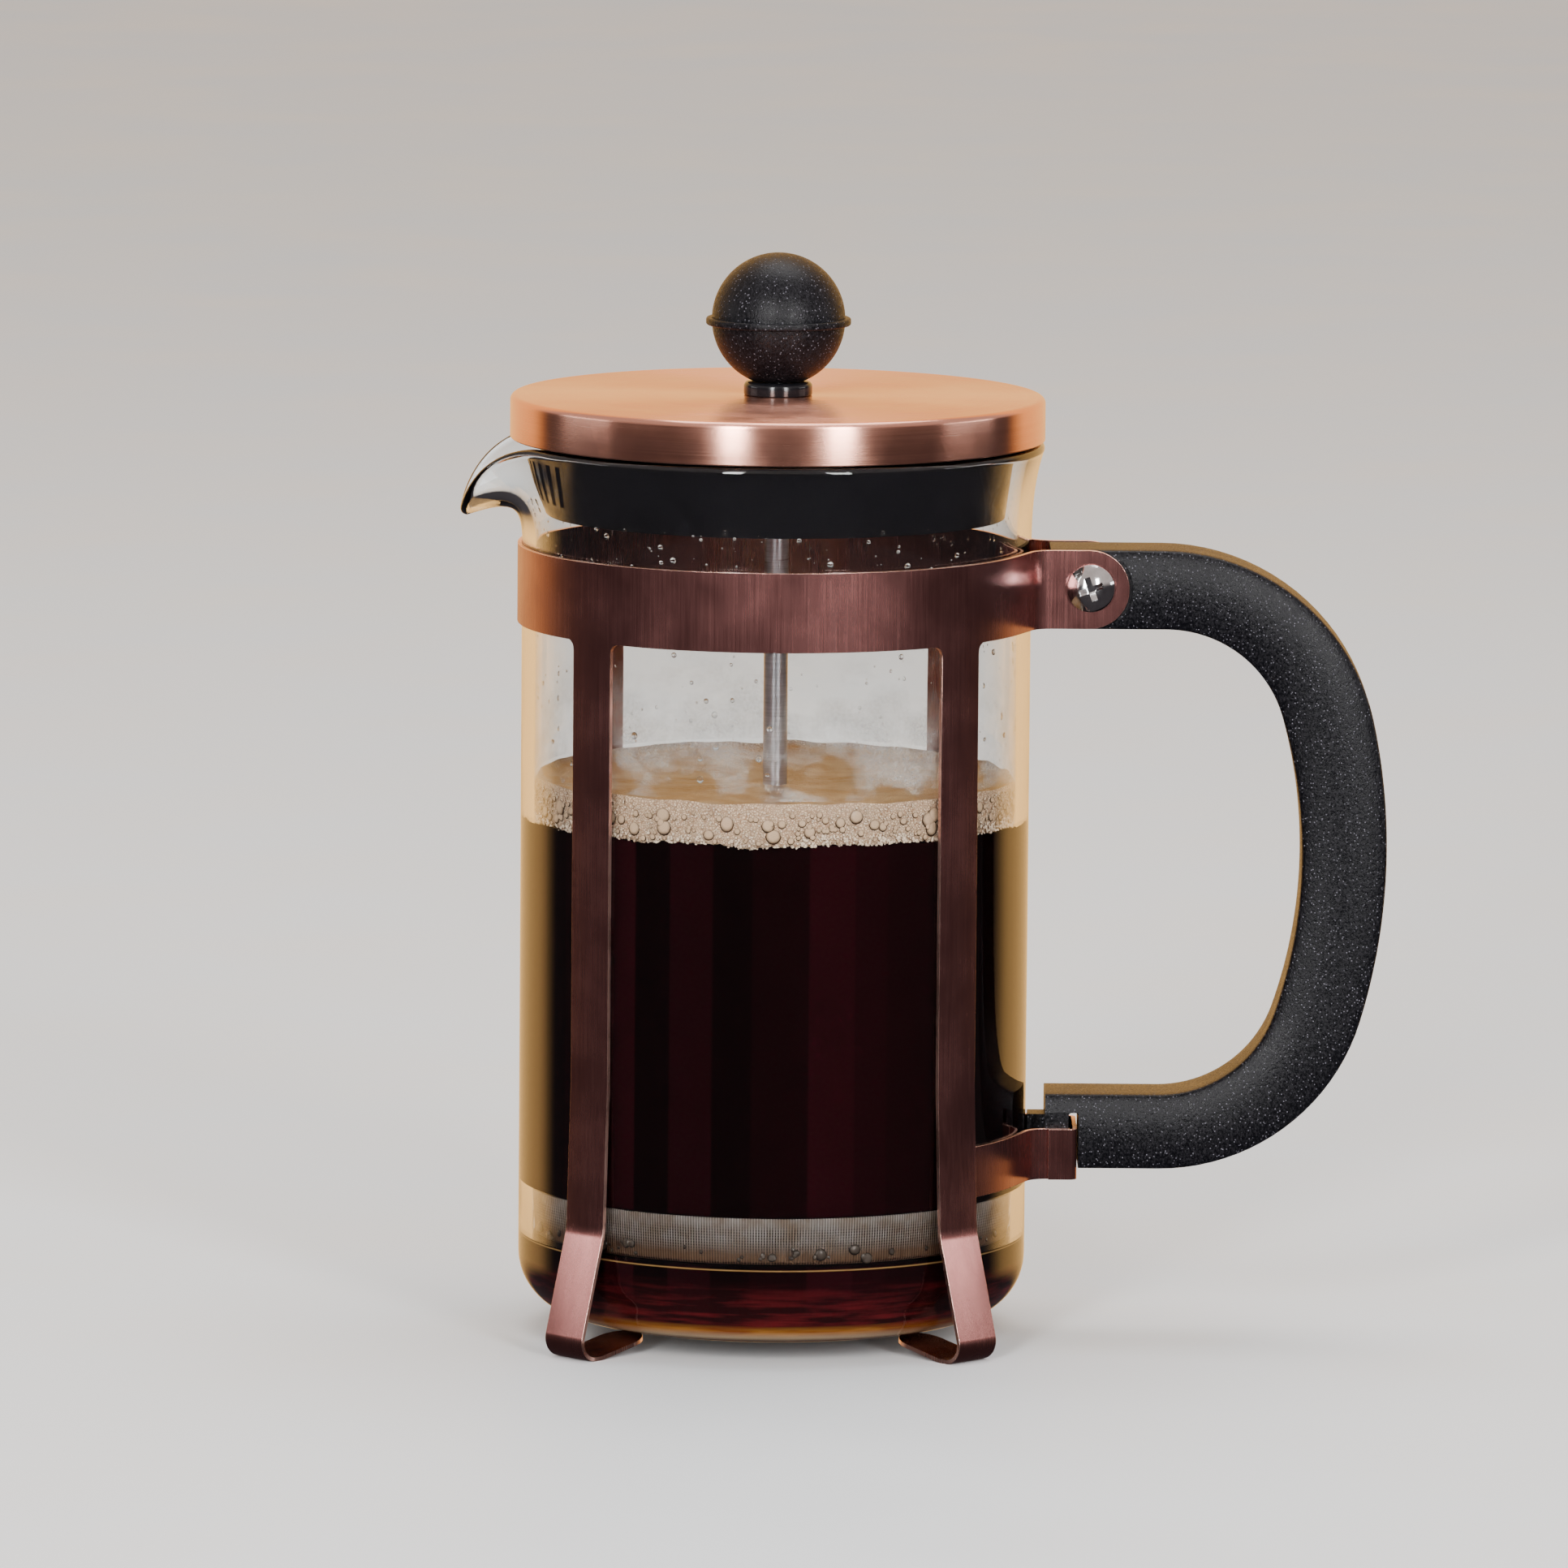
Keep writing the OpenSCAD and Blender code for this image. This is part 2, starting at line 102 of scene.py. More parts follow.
def arc(centre, radius, start, end, steps):
    """Points on a circle from one angle in degrees to another."""
    angles = [math.radians(start + (end - start) * i / steps) for i in range(steps + 1)]
    return [(centre[0] + radius * math.cos(a), centre[1] + radius * math.sin(a)) for a in angles]


def rounded(corners, steps=6):
    """An open path through (x, y, radius) corners, each turned on an arc of its radius."""
    path = [corners[0][:2]]
    for before, corner, after in zip(corners, corners[1:], corners[2:]):
        here = Vector(corner[:2])
        back = (Vector(before[:2]) - here).normalized()
        on = (Vector(after[:2]) - here).normalized()
        opening = back.angle(on)
        if corner[2] == 0 or opening > math.pi - 1e-4:
            path.append(tuple(here))
            continue
        reach = corner[2] / math.tan(opening / 2)
        middle = here + (back + on).normalized() * corner[2] / math.sin(opening / 2)
        first, last = here + back * reach - middle, here + on * reach - middle
        turn = first.angle_signed(last)
        for i in range(steps + 1):
            spoke = first.copy()
            spoke.rotate(Matrix.Rotation(-turn * i / steps, 2))
            path.append(tuple(middle + spoke))
    path.append(corners[-1][:2])
    return path


def bezier(a, b, c, d, t):
    """A point on a cubic curve."""
    s = 1 - t
    return a * s ** 3 + b * 3 * s * s * t + c * 3 * s * t * t + d * t ** 3


def patch(mesh, rows):
    """A grid of four-sided faces through rows of points in millimetres."""
    grid = [[mesh.verts.new(Vector(p) * MM) for p in row] for row in rows]
    for low, high in zip(grid, grid[1:]):
        for i in range(len(low) - 1):
            mesh.faces.new((low[i], low[i + 1], high[i + 1], high[i]))


def turned(profile, steps=160):
    """A closed solid turned about Z. The profile runs from axis to axis, or is a closed ring."""
    mesh = bmesh.new()
    on_axis = profile[0][0] < 1e-6
    rings = []
    for r, z in profile:
        count = 1 if r < 1e-6 else steps
        angles = [math.tau * i / count for i in range(count)]
        rings.append([mesh.verts.new(Vector((r * math.cos(a), r * math.sin(a), z)) * MM) for a in angles])
    join_rings(mesh, rings if on_axis else rings + rings[:1], steps)
    return mesh


def join_rings(mesh, rings, steps):
    """Faces between neighbouring rings of vertices, where a ring may be a single one."""
    for low, high in zip(rings, rings[1:]):
        for i in range(steps):
            k = (i + 1) % steps
            corners = (low[i % len(low)], low[k % len(low)], high[k % len(high)], high[i % len(high)])
            distinct = list(dict.fromkeys(corners))
            if len(distinct) > 2:
                mesh.faces.new(distinct)


def prism(outline, y0, y1):
    """A solid with an outline in XZ, from one Y to another."""
    mesh = bmesh.new()
    ends = [[mesh.verts.new(Vector((x, y, z)) * MM) for x, z in outline] for y in (y0, y1)]
    for end in ends:
        mesh.faces.new(end)
    for i in range(len(outline)):
        k = (i + 1) % len(outline)
        mesh.faces.new((ends[0][i], ends[0][k], ends[1][k], ends[1][i]))
    return mesh


def shaped(name, mesh, looks, sharp=35):
    """An object from a finished mesh, smooth except at edges sharper than an angle in degrees."""
    bmesh.ops.recalc_face_normals(mesh, faces=mesh.faces)
    data = bpy.data.meshes.new(name)
    mesh.to_mesh(data)
    mesh.free()
    data.polygons.foreach_set("use_smooth", [True] * len(data.polygons))
    data.set_sharp_from_angle(angle=math.radians(sharp))
    for look in looks:
        data.materials.append(look.material)
    made = bpy.data.objects.new(name, data)
    bpy.context.scene.collection.objects.link(made)
    return made


def cut(made, mesh, operation="DIFFERENCE"):
    """Takes the space of a mesh out of an object for good, or joins it on."""
    tool = shaped("tool", mesh, [])
    change = made.modifiers.new("cut", "BOOLEAN")
    change.operation = operation
    change.solver = "EXACT"
    change.object = tool
    result = bpy.data.meshes.new_from_object(made.evaluated_get(bpy.context.evaluated_depsgraph_get()))
    made.modifiers.clear()
    result.set_sharp_from_angle(angle=math.radians(35))
    made.data = result
    bpy.data.objects.remove(tool)


def bevel(made, width, segments=2, angle=40, slot=-1):
    """Rounds an object's sharp edges, in the material of a slot, or else of their neighbours."""
    change = made.modifiers.new("edges", "BEVEL")
    change.width = width * MM
    change.segments = segments
    change.limit_method = "ANGLE"
    change.angle_limit = math.radians(angle)
    change.harden_normals = True
    change.material = slot


def settle(made, body, node=None):
    """Fixes a piece to its body, and hides the CAD node that it takes the place of."""
    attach(made, body)
    if node:
        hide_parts(node)


# ---- Materials ---------------------------------------------------------------------------

def add_node(tree, kind, inputs, **settings):
    """One node, with its settings, and its inputs set or linked."""
    made = tree.nodes.new("ShaderNode" + kind)
    for name, value in settings.items():
        setattr(made, name, value)
    for socket, value in inputs.items():
        if isinstance(value, bpy.types.NodeSocket):
            tree.links.new(value, made.inputs[socket])
        else:
            made.inputs[socket].default_value = value
    return made


def mix_colours(tree, factor, first, second):
    """A colour between two, which are colours or sockets."""
    inputs = {0: factor}
    for socket, value in ((6, first), (7, second)):
        inputs[socket] = value if isinstance(value, bpy.types.NodeSocket) else (*value, 1)
    return add_node(tree, "Mix", inputs, data_type="RGBA").outputs[2]


class Look:
    """A Principled material with node patterns, in the object's own coordinates."""

    def __init__(self, name, colour, **sockets):
        self.material = bpy.data.materials.new(name)
        self.material.use_nodes = True
        self.tree = self.material.node_tree
        self.shader = self.tree.nodes["Principled BSDF"]
        self.shader.inputs["Base Color"].default_value = (*colour, 1)
        for socket, value in sockets.items():
            self.shader.inputs[socket.replace("_", " ")].default_value = value

    def add(self, kind, inputs, **settings):
        """One node in this material."""
        return add_node(self.tree, kind, inputs, **settings)

    def where(self):
        """The place on the object."""
        return self.add("TexCoord", {}).outputs["Object"]

    def noise(self, size, detail=3, roughness=0.5, at=None):
        """Noise with lumps of a size in millimetres, given for all axes or for each."""
        sizes = size if isinstance(size, tuple) else (size,) * 3
        scale = tuple(1 / (s * MM) for s in sizes)
        place = self.add("Mapping", {"Vector": at or self.where(), "Scale": scale}).outputs["Vector"]
        settings = {"Vector": place, "Scale": 1, "Detail": detail, "Roughness": roughness}
        return self.add("TexNoise", settings).outputs["Fac"]

    def cells(self, size, feature="F1"):
        """Distance inside cells of a size in millimetres."""
        place = {"Vector": self.where(), "Scale": 1 / (size * MM)}
        return self.add("TexVoronoi", place, feature=feature).outputs["Distance"]

    def radial(self):
        """A vector of the distance from Z, the angle round Z as a length of arc at 40 mm, and the height."""
        parts = self.add("SeparateXYZ", {"Vector": self.where()}).outputs
        flat = self.add("CombineXYZ", {"X": parts["X"], "Y": parts["Y"]}).outputs["Vector"]
        r = self.add("VectorMath", {0: flat}, operation="LENGTH").outputs["Value"]
        angle = self.math("ARCTAN2", parts["Y"], parts["X"])
        along = self.math("MULTIPLY", angle, 40 * MM)
        return self.add("CombineXYZ", {"X": r, "Y": along, "Z": parts["Z"]}).outputs["Vector"]

    def math(self, operation, a, b=0.0, c=None):
        """One step of arithmetic on one, two or three values."""
        inputs = {0: a, 1: b}
        if c is not None:
            inputs[2] = c
        return self.add("Math", inputs, operation=operation).outputs["Value"]

    def spread(self, factor, low, high, start=0.0, end=1.0):
        """A factor between two values moved to lie between two others."""
        inputs = {"Value": factor, "From Min": start, "From Max": end, "To Min": low, "To Max": high}
        return self.add("MapRange", inputs).outputs["Result"]

    def mix(self, factor, first, second):
        """A colour between two in this material."""
        return mix_colours(self.tree, factor, first, second)

    def set(self, socket, value):
        """Links a pattern to the shader."""
        self.tree.links.new(value, self.shader.inputs[socket])

    def bump(self, height, depth):
        """Raises the surface by a height pattern, to a depth in millimetres."""
        inputs = {"Height": height, "Distance": depth * MM, "Strength": 1}
        self.set("Normal", self.add("Bump", inputs).outputs["Normal"])


def brushed_copper(name, dark, light, rough, upright):
    """Plated sheet with a fine grain, upright on the frame and in rings on the lid."""
    look = Look(name, light, Metallic=1, Anisotropic=0.85, Anisotropic_Rotation=0 if upright else 0.25)
    look.set("Tangent", look.add("Tangent", {}, direction_type="RADIAL", axis="Z").outputs["Tangent"])
    if upright:
        grain = look.noise((0.16, 0.16, 14), 4, 0.6)
        streak = look.noise((1.1, 1.1, 40), 3)
    else:
        grain = look.noise((0.09, 30, 0.09), 4, 0.6, look.radial())
        streak = look.noise((0.9, 60, 0.9), 3, 0.5, look.radial())
    cloud = look.noise(11, 3)
    both = look.math("MULTIPLY_ADD", streak, 0.6, look.math("MULTIPLY", grain, 0.4))
    look.set("Base Color", look.mix(look.spread(both, 0, 1, 0.12, 0.88), dark, light))
    fine = look.spread(grain, rough - 0.02, rough + 0.04, 0.3, 0.7)
    look.set("Roughness", look.math("ADD", fine, look.spread(cloud, -0.03, 0.05, 0.3, 0.7)))
    look.bump(grain, 0.0025)
    return look


def plain_metal(name, colour, rough, grain_size, depth=0.003):
    """Metal with fine tool marks."""
    look = Look(name, colour, Metallic=1)
    grain = look.noise(grain_size, 4, 0.6)
    darker = tuple(0.72 * c for c in colour)
    look.set("Base Color", look.mix(look.spread(grain, 0, 1, 0.3, 0.7), darker, colour))
    look.set("Roughness", look.spread(grain, rough - 0.05, rough + 0.08, 0.3, 0.7))
    look.bump(grain, depth)
    return look


def sparkle_plastic(name, rough, depth):
    """Black moulded plastic with a fine leathery texture, and light specks in its colour that are painted
    glints.
    """
    look = Look(name, (0.004, 0.004, 0.005), IOR=1.5, Specular_IOR_Level=0.17)
    lumps = look.noise((0.34, 0.34, 0.5), 2, 0.7)
    specks = look.cells(0.62)
    cloud = look.noise(9, 3)
    grey = look.mix(look.spread(lumps, 0, 1, 0.45, 0.75), (0.002, 0.002, 0.003), (0.012, 0.011, 0.014))
    # Painted glints: small light specks in the colour, shown in patches.
    flecks = look.spread(specks, 1, 0, 0.09, 0.23)
    glint = look.math("MULTIPLY", flecks, look.spread(cloud, 0.5, 1, 0.35, 0.65))
    look.set("Base Color", look.mix(glint, grey, (0.12, 0.115, 0.135)))
    fine = look.spread(lumps, rough - 0.12, rough + 0.12, 0.35, 0.65)
    look.set("Roughness", look.math("ADD", fine, look.spread(cloud, -0.03, 0.04, 0.3, 0.7)))
    look.bump(look.math("ADD", lumps, look.math("MULTIPLY", glint, 0.5)), depth)
    return look


def smooth_plastic(name, rough):
    """Black plastic with faint marks of handling."""
    look = Look(name, (0.005, 0.005, 0.006), IOR=1.5, Specular_IOR_Level=0.35)
    marks = look.noise(2.5, 5, 0.65)
    look.set("Base Color", look.mix(marks, (0.003, 0.003, 0.004), (0.008, 0.008, 0.010)))
    look.set("Roughness", look.spread(marks, rough - 0.05, rough + 0.08, 0.3, 0.7))
    look.bump(marks, 0.008)
    return look


def clear_glass():
    """Borosilicate glass with a trace of waviness."""
    look = Look("clear_glass", (0.975, 0.985, 0.98), Roughness=0.0, IOR=1.47, Transmission_Weight=1)
    look.bump(look.noise(26, 2), 0.05)
    return look


def liquid_coffee():
    """Nearly black coffee in upright bands of wine brown that are painted reflections, redder low down, with
    a golden line under the filter that is a painted reflection, and amber painted light shining through where
    it thins out under the glass."""
    look = Look("liquid_coffee", (0.006, 0.001, 0.001), Roughness=0.3, Specular_IOR_Level=0.0)
    parts = look.add("SeparateXYZ", {"Vector": look.radial()}).outputs
    away, height = parts["X"], parts["Z"]
    # Upright bands of painted reflection, in wine brown on the nearly black coffee.
    bands = {"W": look.math("MULTIPLY_ADD", parts["Y"], 1 / (PAINTED_REFLECTION_WIDTH * MM), 0.35)}
    bands.update({"Scale": 1, "Smoothness": 0.12})
    reflection_tones = look.add("TexVoronoi", bands, voronoi_dimensions="1D", feature="SMOOTH_F1").outputs["Color"]
    reflection_tone = look.add("SeparateXYZ", {"Vector": reflection_tones}).outputs["X"]
    dark_with_painted_reflections = look.mix(look.spread(reflection_tone, 0, 1, 0.3, 0.9), (0.0035, 0.0008, 0.0009), (0.016, 0.0020, 0.0034))
    streak = look.noise((11, 11, 0.9), 3)
    red = look.mix(look.spread(streak, 0, 1, 0.45, 0.7), (0.022, 0.004, 0.0045), (0.13, 0.011, 0.014))
    low = look.spread(height, 1, 0, 8 * MM, 14.5 * MM)
    body = look.mix(low, dark_with_painted_reflections, red)
    # A thin golden line just under the filter: a painted reflection.
    from_line = look.math("ABSOLUTE", look.math("SUBTRACT", height, (MESH_Z - 0.8) * MM))
    body = look.mix(look.spread(from_line, 1, 0, 0.05 * MM, 0.16 * MM), body, (0.30, 0.17, 0.06))
    # Amber, and pale tan at the outermost edge, where the coffee thins out over the floor of the glass:
    # painted light shining through it.
    bottom = look.spread(height, 1, 0, (FLOOR_Z + 0.5) * MM, (FLOOR_Z + 1.7) * MM)
    edge = look.math("MULTIPLY", bottom, look.spread(away, 0, 1, 31.5 * MM, 33.5 * MM))
    amber = look.mix(look.spread(streak, 0, 1, 0.35, 0.6), (0.72, 0.30, 0.05), (0.36, 0.10, 0.015))
    amber = look.mix(look.spread(away, 1, 0, 33.5 * MM, 35.5 * MM), amber, (0.66, 0.48, 0.30))
    look.set("Base Color", look.mix(edge, body, amber))
    return look


def foam(name):
    """Froth of fine bubbles, pale against the glass and tan on top."""
    look = Look(name, (0.66, 0.54, 0.42), Roughness=0.3, IOR=1.33)
    fine = look.cells(0.42, "DISTANCE_TO_EDGE")
    coarse = look.cells(1.1, "DISTANCE_TO_EDGE")
    cloud = look.noise(5, 3)
    walls = look.spread(coarse, 0.45, 1, 0.0, 0.10)
    film = look.math("MULTIPLY", look.spread(fine, 0, 1, 0.0, 0.22), walls)
    light = look.mix(film, (0.36, 0.19, 0.10), (0.88, 0.65, 0.45))
    side = look.mix(look.spread(cloud, 0, 0.45, 0.45, 0.7), light, (0.56, 0.38, 0.25))
    away = look.add("SeparateXYZ", {"Vector": look.radial()}).outputs["X"]
    on_top = look.spread(away, 1, 0, 38.2 * MM, 39.3 * MM)
    top = look.mix(look.spread(cloud, 0, 1, 0.4, 0.65), (0.68, 0.35, 0.14), (0.84, 0.55, 0.31))
    look.set("Base Color", look.mix(on_top, side, top))
    look.bump(look.math("ADD", look.math("MULTIPLY", fine, 0.6), coarse), 0.35)
    return look


def bubble_film(name, middle, outline, rough=0.08):
    """Bubbles against the glass, with painted shade towards their outlines and lower sides and a painted
    highlight on their upper sides, as the attribute "rim" says.
    """
    look = Look(name, middle, Roughness=rough, IOR=1.4)
    rim = look.add("Attribute", {}, attribute_name="rim").outputs["Fac"]
    waver = look.math("ADD", rim, look.spread(look.noise(0.4, 2), -0.1, 0.1))
    look.set("Base Color", look.mix(look.spread(waver, 0, 1, 0.2, 0.75), middle, outline))
    look.bump(look.noise(0.8, 2), 0.02)
    return look


def water():
    """Drops of clear water."""
    look = Look("water", (0.98, 0.98, 0.97), Roughness=0.0, IOR=1.33, Transmission_Weight=1)
    look.bump(look.noise(0.5, 2), 0.01)
    return look


def breath():
    """Patches of fine mist on the glass, which thin out upwards."""
    look = Look("mist", (0.92, 0.91, 0.90), Roughness=0.6)
    height = look.add("SeparateXYZ", {"Vector": look.where()}).outputs["Z"]
    patches = look.spread(look.noise((13, 13, 9), 4, 0.6), 0, 1, 0.44, 0.62)
    fine = look.spread(look.noise(0.5, 2), 0.5, 1, 0.35, 0.65)
    fade = look.spread(height, 1, 0, (FROTH_Z + 3) * MM, (FROTH_Z + MIST_H) * MM)
    haze = look.math("MULTIPLY", look.math("MULTIPLY", patches, fine), fade)
    look.set("Alpha", look.math("MULTIPLY", haze, 0.30))
    return look


def woven_mesh():
    """Fine stainless weave, stained by coffee, with its wires running round and across."""
    look = Look("woven_mesh", (0.4, 0.35, 0.29), Metallic=0.5)
    parts = look.add("SeparateXYZ", {"Vector": look.radial()}).outputs
    pitch = 0.45 * MM
    up, across, around = (look.math("SINE", look.math("MULTIPLY", parts[axis], math.tau / pitch))
                          for axis in ("Z", "X", "Y"))
    weave = look.math("MAXIMUM", around, look.math("MULTIPLY", look.math("MAXIMUM", up, across), 0.3))
    stain = look.noise(3.5, 4, 0.6)
    wire = look.mix(look.spread(stain, 0, 1, 0.35, 0.7), (0.52, 0.46, 0.42), (0.32, 0.22, 0.15))
    # Darker and browner towards the screen's lower edge, with a ragged boundary.
    ragged = look.math("MULTIPLY_ADD", stain, 2.5 * MM, parts["Z"])
    darker_below = look.spread(ragged, 0.95, 0, (MESH_Z + 3) * MM, (MESH_Z + 5.2) * MM)
    wire = look.mix(darker_below, wire, (0.22, 0.11, 0.055))
    look.set("Base Color", look.mix(look.spread(weave, 0, 1, -0.1, 0.9), (0.02, 0.011, 0.007), wire))
    look.set("Roughness", look.spread(stain, 0.32, 0.48, 0.3, 0.7))
    look.bump(weave, 0.12)
    return look


def pale_floor():
    """Plain pale studio floor, which anything seen by gloss looks past."""
    look = Look("pale_floor", (0.74, 0.75, 0.76), Roughness=0.55)
    look.set("Roughness", look.spread(look.noise(60, 3), 0.5, 0.62, 0.3, 0.7))
    bounce = look.add("LightPath", {}).outputs["Glossy Depth"]
    by_gloss = look.math("GREATER_THAN", bounce, 0.5)
    clear = look.add("BsdfTransparent", {}).outputs["BSDF"]
    either = look.add("MixShader", {0: by_gloss, 1: look.shader.outputs["BSDF"], 2: clear})
    look.tree.links.new(either.outputs["Shader"], look.tree.nodes["Material Output"].inputs["Surface"])
    return look


copper_frame = brushed_copper("copper_frame", (0.34, 0.135, 0.125), (0.47, 0.205, 0.188), 0.23, True)
# The sheet's cut edges get a lighter copy of the frame's copper: a painted highlight.
copper_edge_highlight = brushed_copper("copper_edge_highlight", (0.80, 0.42, 0.34), (0.96, 0.62, 0.53), 0.25, True)
copper_lid = brushed_copper("copper_lid", (0.68, 0.30, 0.21), (0.86, 0.43, 0.32), 0.22, False)
handle_plastic = sparkle_plastic("handle_plastic", 0.38, 0.09)
knob_plastic = sparkle_plastic("knob_plastic", 0.40, 0.07)
gloss_plastic = smooth_plastic("gloss_plastic", 0.14)
satin_plastic = smooth_plastic("satin_plastic", 0.16)
glass = clear_glass()
chrome = plain_metal("chrome", (0.80, 0.80, 0.81), 0.10, (3, 3, 3), 0.004)
steel = plain_metal("satin_steel", (0.62, 0.62, 0.64), 0.30, (0.3, 0.3, 6))
rod_steel = plain_metal("rod_steel", (0.76, 0.74, 0.79), 0.32, (6, 6, 0.25))
brass = plain_metal("turned_brass", (0.72, 0.55, 0.26), 0.25, (4, 4, 0.3))
weave_steel = woven_mesh()
coffee = liquid_coffee()
froth_look = foam("froth")
# Each bubble film's second colour is painted shade, at the outline and the lower side.
large_bubble_look = bubble_film("large_bubble_film", (0.62, 0.42, 0.27), (0.05, 0.022, 0.01))
small_bubble_look = bubble_film("small_bubble_film", (0.92, 0.72, 0.54), (0.26, 0.14, 0.08))
dark_bubble_look = bubble_film("dark_bubble_film", (0.060, 0.045, 0.035), (0.012, 0.007, 0.005), 0.03)
drop_look = water()
mist_look = breath()


# ---- Beaker ------------------------------------------------------------------------------

SPOUT_REACH = 8.2       # how far the lip is drawn out at the spout
SPOUT_DROP = 10.7       # how far it dips there
OUT_SPREAD = 17.8       # degrees to each side over which it is drawn out
DIP_SPREAD = 12.3       # degrees to each side over which it dips


def wall_path(turn, t):
    """Middle of the glass at a turn from the spout in degrees, from the straight wall to the lip."""
    half = WALL / 2
    side = abs((turn + 180) % 360 - 180)
    out = math.exp(-(side / OUT_SPREAD) ** 2.9)
    down = math.exp(-(side / DIP_SPREAD) ** 2.1)
    start = Vector((GLASS_R - half, FLARE_Z))
    rise = Vector((GLASS_R - half, FLARE_Z + 6)).lerp(Vector((GLASS_R - half, FLARE_Z + 7.5)), out)
    bend = Vector((GLASS_R - 0.7, FLARE_Z + 11.5)).lerp(Vector((GLASS_R + 1.5, FLARE_Z + 8.2)), out)
    lip = Vector((GLASS_R + 0.9 + SPOUT_REACH * out, RIM_Z - half - SPOUT_DROP * down))
    here = bezier(start, rise, bend, lip, t)
    on = bezier(start, rise, bend, lip, min(t + 0.01, 1)) - bezier(start, rise, bend, lip, min(t, 0.99))
    return here, on.normalized()


def beaker_profile(turn):
    """Section of the glass at a turn from the spout, from the axis outside to the axis inside."""
    outside, inside = [], []
    for i in range(17):
        here, on = wall_path(turn, i / 16)
        across = Vector((on.y, -on.x)) * WALL / 2
        outside.append(tuple(here + across))
        inside.append(tuple(here - across))
    lip, on = wall_path(turn, 1)
    heading = math.degrees(math.atan2(on.y, on.x))
    bead = arc(lip, WALL / 2 + 0.05, heading - 75, heading + 75, 8)
    under = [(0, BASE_Z + 0.7), (14, BASE_Z + 0.6), (26, BASE_Z + 0.2), (29.5, BASE_Z)]
    heel = arc((GLASS_R - CORNER_R, BASE_Z + CORNER_R), CORNER_R, -90, 0, 12)
    wall = [(GLASS_R, z) for z in (30, 60, 90, 118)]
    inner_r = CORNER_R - WALL
    toe = arc((BORE_R - inner_r, FLOOR_Z + inner_r), inner_r, 0, -90, 10)
    bore = [(BORE_R, z) for z in (118, 90, 60, 30)]
    floor = [(26, FLOOR_Z + 0.1), (14, FLOOR_Z + 0.4), (0, FLOOR_Z + 0.5)]
    return under + heel + wall + outside + bead + inside[::-1] + bore + toe + floor


def beaker():
    """The glass, turned about Z with its spout drawn out towards -X."""
    steps = 288
    mesh = bmesh.new()
    sections = [beaker_profile(360 * i / steps) for i in range(steps)]
    rings = []
    for level in range(len(sections[0])):
        if sections[0][level][0] < 1e-6:
            rings.append([mesh.verts.new((0, 0, sections[0][level][1] * MM))])
            continue
        ring = []
        for i, section in enumerate(sections):
            turn = math.tau * i / steps + math.pi
            r, z = section[level]
            ring.append(mesh.verts.new(Vector((r * math.cos(turn), r * math.sin(turn), z)) * MM))
        rings.append(ring)
    join_rings(mesh, rings, steps)
    settle(shaped("beaker", mesh, [glass], 60), "stand", "glass_beaker")


# ---- Frame -------------------------------------------------------------------------------

def leg_columns():
    """Distances across a leg, closer together towards its edges."""
    return [LEG_HALF * math.sin(math.pi / 2 * i / 5) for i in range(-5, 6)]


def band_angles():
    """Angles of the band's columns, with each leg's columns among them."""
    stops = [EAR_ANGLE]
    for middle in LEG_ANGLES:
        reach = LEG_HALF + LEG_FILLET
        for across in [-reach, *leg_columns(), reach]:
            stops.append(middle + math.degrees(math.asin(across / SHEET_R)))
    stops.append(360 - EAR_ANGLE)
    angles = stops[:1]
    for before, after in zip(stops, stops[1:]):
        count = max(1, round((after - before) / 2.5))
        angles += [before + (after - before) * (i + 1) / count for i in range(count)]
    return angles


def leg_path():
    """Radius and height down a leg, round the foot and to the start of the tongue."""
    foot, foot_r = (GLASS_R + 2.9, 3.3), 2.95
    kink = (SHEET_R + 0.8, 21)
    dx, dz = foot[0] - kink[0], foot[1] - kink[1]
    heading = math.degrees(math.atan2(dz, dx) + math.asin(foot_r / math.hypot(dx, dz)))
    bend = arc(foot, foot_r, heading + 90, -90, 14)
    down = rounded([(SHEET_R, 60, 0), (SHEET_R, 45, 0), (*kink, 9), (*bend[0], 0)], 8)
    straight = [(SHEET_R, z) for z in (BAND_Z, BAND_Z - LEG_FILLET, 104, 90, 75)]
    return straight + down[:-1] + bend + [(foot[0] - 1.4, SHEET / 2)]


def leg(mesh, middle):
    """One leg with its foot and its round-ended tongue under the glass."""
    turn = Matrix.Rotation(math.radians(middle), 3, "Z")
    columns = leg_columns()
    path = leg_path()
    rows = [[(math.sqrt(r * r - u * u), u, z) for u in columns] for r, z in path]
    start_r, start_z = path[-1]
    end_r, end_z = GLASS_R - 10.5, BASE_Z - 0.08 - SHEET / 2
    centre = end_r + LEG_HALF
    last_arc_r = 38.5

    def tongue_point(x, u):
        along = (start_r - math.hypot(x, u)) / (start_r - end_r)
        return (x, u, start_z + (end_z - start_z) * along)

    for r in (41, last_arc_r):
        rows.append([tongue_point(math.sqrt(r * r - u * u), u) for u in columns])
    for step in (1 / 3, 2 / 3, 1):
        row = []
        for u in columns:
            begin = math.sqrt(last_arc_r ** 2 - u * u)
            end = centre - math.sqrt(max(0.0, LEG_HALF ** 2 - u * u))
            row.append(tongue_point(begin + (end - begin) * step, u))
        rows.append(row)
    patch(mesh, [[turn @ Vector(p) for p in row] for row in rows])
    for side in (-1, 1):
        fillet = arc((LEG_HALF + LEG_FILLET, BAND_Z - LEG_FILLET), LEG_FILLET, 180, 90, 6)
        fan = [(LEG_HALF, BAND_Z), *fillet]
        flat = [(math.sqrt(SHEET_R ** 2 - u * u), side * u, z) for u, z in fan]
        verts = [mesh.verts.new(turn @ Vector(p) * MM) for p in flat]
        for i in range(1, len(verts) - 1):
            mesh.faces.new((verts[0], verts[i], verts[i + 1]))


